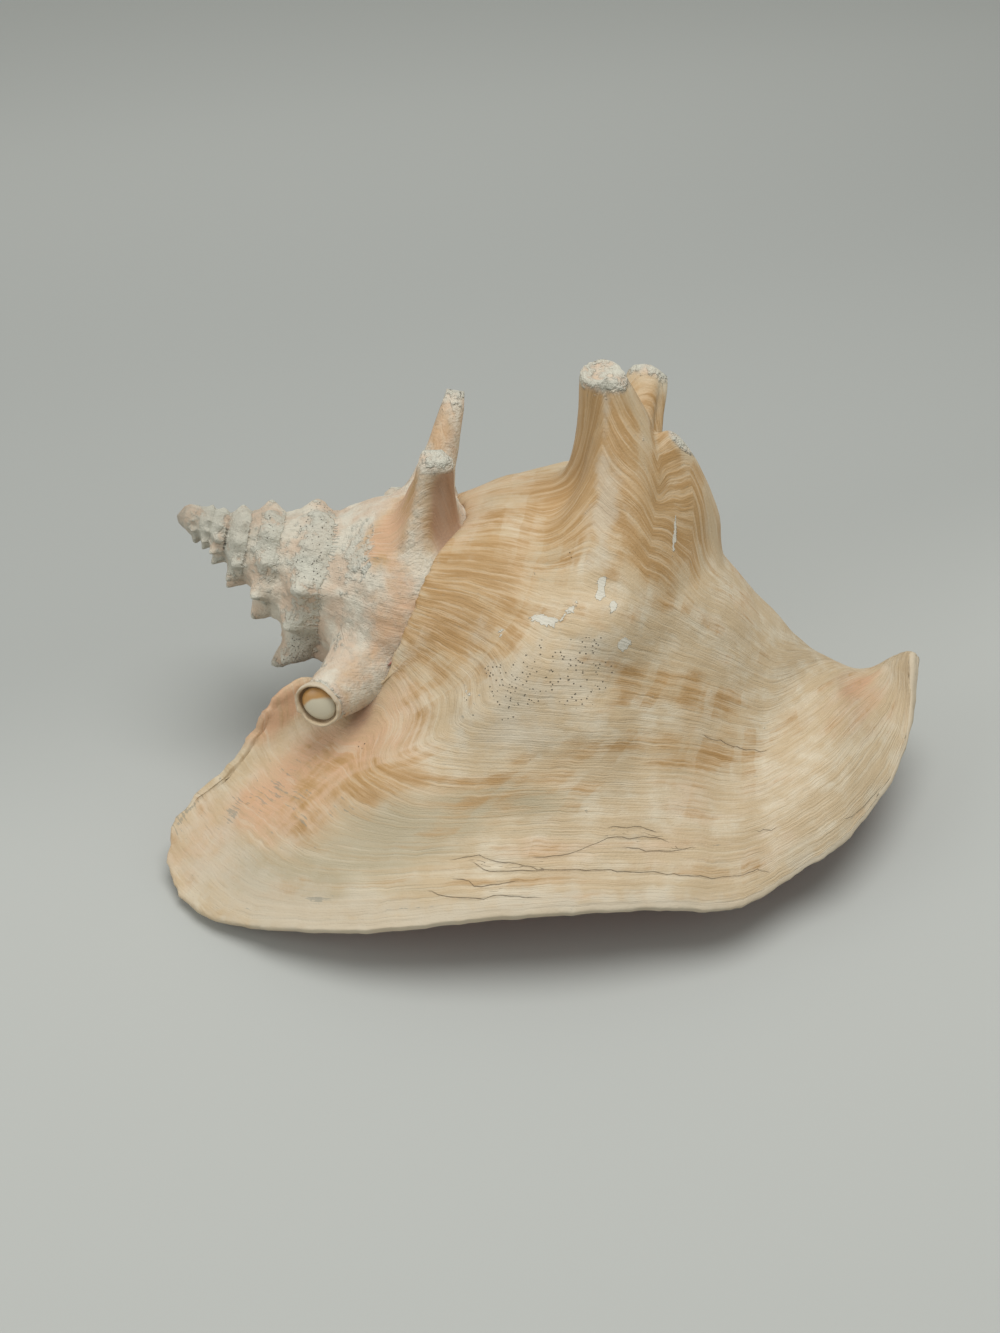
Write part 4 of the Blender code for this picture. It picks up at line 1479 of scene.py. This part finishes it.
def broken_end():
    spine = SPINES["stub"]
    foot, along, _, _ = spine_frame(*foot_points(spine["angle"], spine["x"]))
    tip = np.array(spine["tip_at"], float)
    axis = unit(tip - foot + STUB_FACING)
    first = unit(along - axis * (along @ axis))
    second = np.cross(axis, first)

    bm = spun_profile()
    ring, side = (bm.verts.layers.float.new(name) for name in ("ring", "side"))
    points = []
    for vert in bm.verts:
        x, y, up = vert.co
        out = math.hypot(x, y)
        rim = float(smooth((out - STUB_RIM) / 0.8))
        chips = noise.noise(vert.co / STUB_RAGGED_SIZE) * STUB_RAGGED * rim
        point = tip + x * first + y * STUB_OVAL * second + (up + STUB_OUT + chips) * axis
        vert[ring] = out
        vert[side] = (point - tip) @ CRESCENT_SIDE
        points.append(point)
    put(bm, lie_down(np.array(points)))
    return as_piece(bm, "broken_end")


# %% [markdown]
# ## The colours of the break
# Fresh shell shows in a break, so its colours are clean. They follow the painted radius: a
# milky plug, a painted shade in the gap round it, and the pale wall. On one side the plug has an orange
# crescent.

# %% The broken end's material
PLUG_MILK = (0.62, 0.56, 0.42, 1)
PLUG_ORANGE = (0.50, 0.27, 0.09, 1)
GAP_SHADE_BROWN = (0.25, 0.15, 0.07, 1)
WALL_INNER = (0.56, 0.44, 0.29, 1)
WALL_OUTER = (0.56, 0.47, 0.35, 1)


def broken_shell():
    material, surface, start, place = new_material("broken_shell")
    small, broad = place.lumps(2.381, 3.0), place.lumps(7.692, 1.0)
    ring = start.painted("ring") + (small - 0.5) * 0.5
    crescent = (start.painted("side") * 0.55 + ring * 0.45 + (broad - 0.5) * 3.0).between(2.3, 3.3)
    colour = start.blend(crescent, PLUG_MILK, PLUG_ORANGE)
    # the dark ring is painted shade in the gap between the plug and the wall
    colour = colour.over(GAP_SHADE_BROWN, ring.between(5.15, 5.5) * (0.4 + broad))
    colour = colour.over(WALL_INNER, ring.between(6.0, 6.2))
    colour = colour.over(WALL_OUTER, ring.between(6.6, 7.0))
    colour.into(surface, "Base Color")
    (0.3 + ring.between(5.2, 5.8) * 0.4).into(surface, "Roughness")
    height = small * ring.between(5.4, 6.2)
    bump = small.node("ShaderNodeBump", {}, {"Strength": 0.7, "Distance": 0.0005, "Height": height})
    bump.into(surface, "Normal")
    return material


# %% [markdown]
# ## One natural body
# The three pieces are one shell, with no joints. All of them ride on its root and are shown
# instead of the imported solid, in the place that the record keeps for shell.

# %% Finishing the pieces
end = broken_end()
end.data.materials.append(broken_shell())
shell_material = weathered_shell()
for piece in (body_whorl, spire):
    piece.data.materials.append(shell_material)
for piece in (body_whorl, spire, end):
    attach(piece, "root")
    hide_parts("conch_shell")
    print(piece.name, [round(size * 1000, 1) for size in piece.dimensions], "mm")

# %% [markdown]
# ## The table it lies on
# The shell lies on a plain pale sheet. Behind it the flat sheet is painted a little darker, a painted shade
# like paper's where it curves away from the light, and paler again far back, so that the pale shell stands
# out against it.

# %% The sheet
SHEET_NEAR = (0.47, 0.48, 0.455, 1)
SHEET_SHADED_FAR = (0.395, 0.405, 0.385, 1)


def backdrop():
    material, surface, start, place = new_material("paper")
    surface.inputs["Roughness"].default_value = 0.9
    across = place.node("ShaderNodeSeparateXYZ", sockets={0: place})
    depth = across.second() - across * 0.5
    # painted shade: darker behind the shell, and paler again far back
    shade = depth.between(0.0, 0.13) - depth.between(0.33, 0.7) * 0.9
    start.blend(shade, SHEET_NEAR, SHEET_SHADED_FAR).into(surface, "Base Color")
    return material


bm = bmesh.new()
bmesh.ops.create_grid(bm, x_segments=1, y_segments=1, size=3)
floor = as_piece(bm, "floor")
floor.data.materials.append(backdrop())

# %% [markdown]
# ## Light and camera
# An even grey room gives most of the light. A large lamp above makes the wide soft shadow under
# the lip, and a weaker one on the left lights the spire's lower side. The camera looks down at
# the back of the shell from a little to the right.

# %% Room and lamps
AIM = np.array([-0.0119, -0.0052, 0.048])
ROOM_GREY = (0.40, 0.41, 0.395, 1)

scene = bpy.context.scene
scene.view_settings.view_transform = "Standard"
world = bpy.data.worlds.new("room")
scene.world = world
world.use_nodes = True
world.node_tree.nodes["Background"].inputs["Color"].default_value = ROOM_GREY


def look_at_shell(thing, at):
    scene.collection.objects.link(thing)
    thing.location = at
    thing.rotation_euler = Vector(AIM - np.array(at)).to_track_quat("-Z", "Y").to_euler()


def lamp(name, at, size, power):
    data = bpy.data.lights.new(name, "AREA")
    data.shape, data.size, data.energy = "DISK", size, power
    look_at_shell(bpy.data.objects.new(name, data), at)
    print(name, power, "watts")


lamp("top_light", (0.08, 0.03, 1.0), 0.7, 6.6)
lamp("left_light", (-0.95, -0.55, 0.6), 0.8, 3.0)

# %% Camera
AZIMUTH, ELEVATION = math.radians(8), math.radians(40)
DISTANCE = 0.45
towards = np.array([
    math.sin(AZIMUTH) * math.cos(ELEVATION),
    -math.cos(AZIMUTH) * math.cos(ELEVATION),
    math.sin(ELEVATION),
])
lens = bpy.data.cameras.new("camera")
lens.sensor_width, lens.lens = 36, 40.5
camera = bpy.data.objects.new("camera", lens)
look_at_shell(camera, AIM + DISTANCE * towards)
scene.camera = camera
print("camera at", tuple(round(value, 3) for value in camera.location))
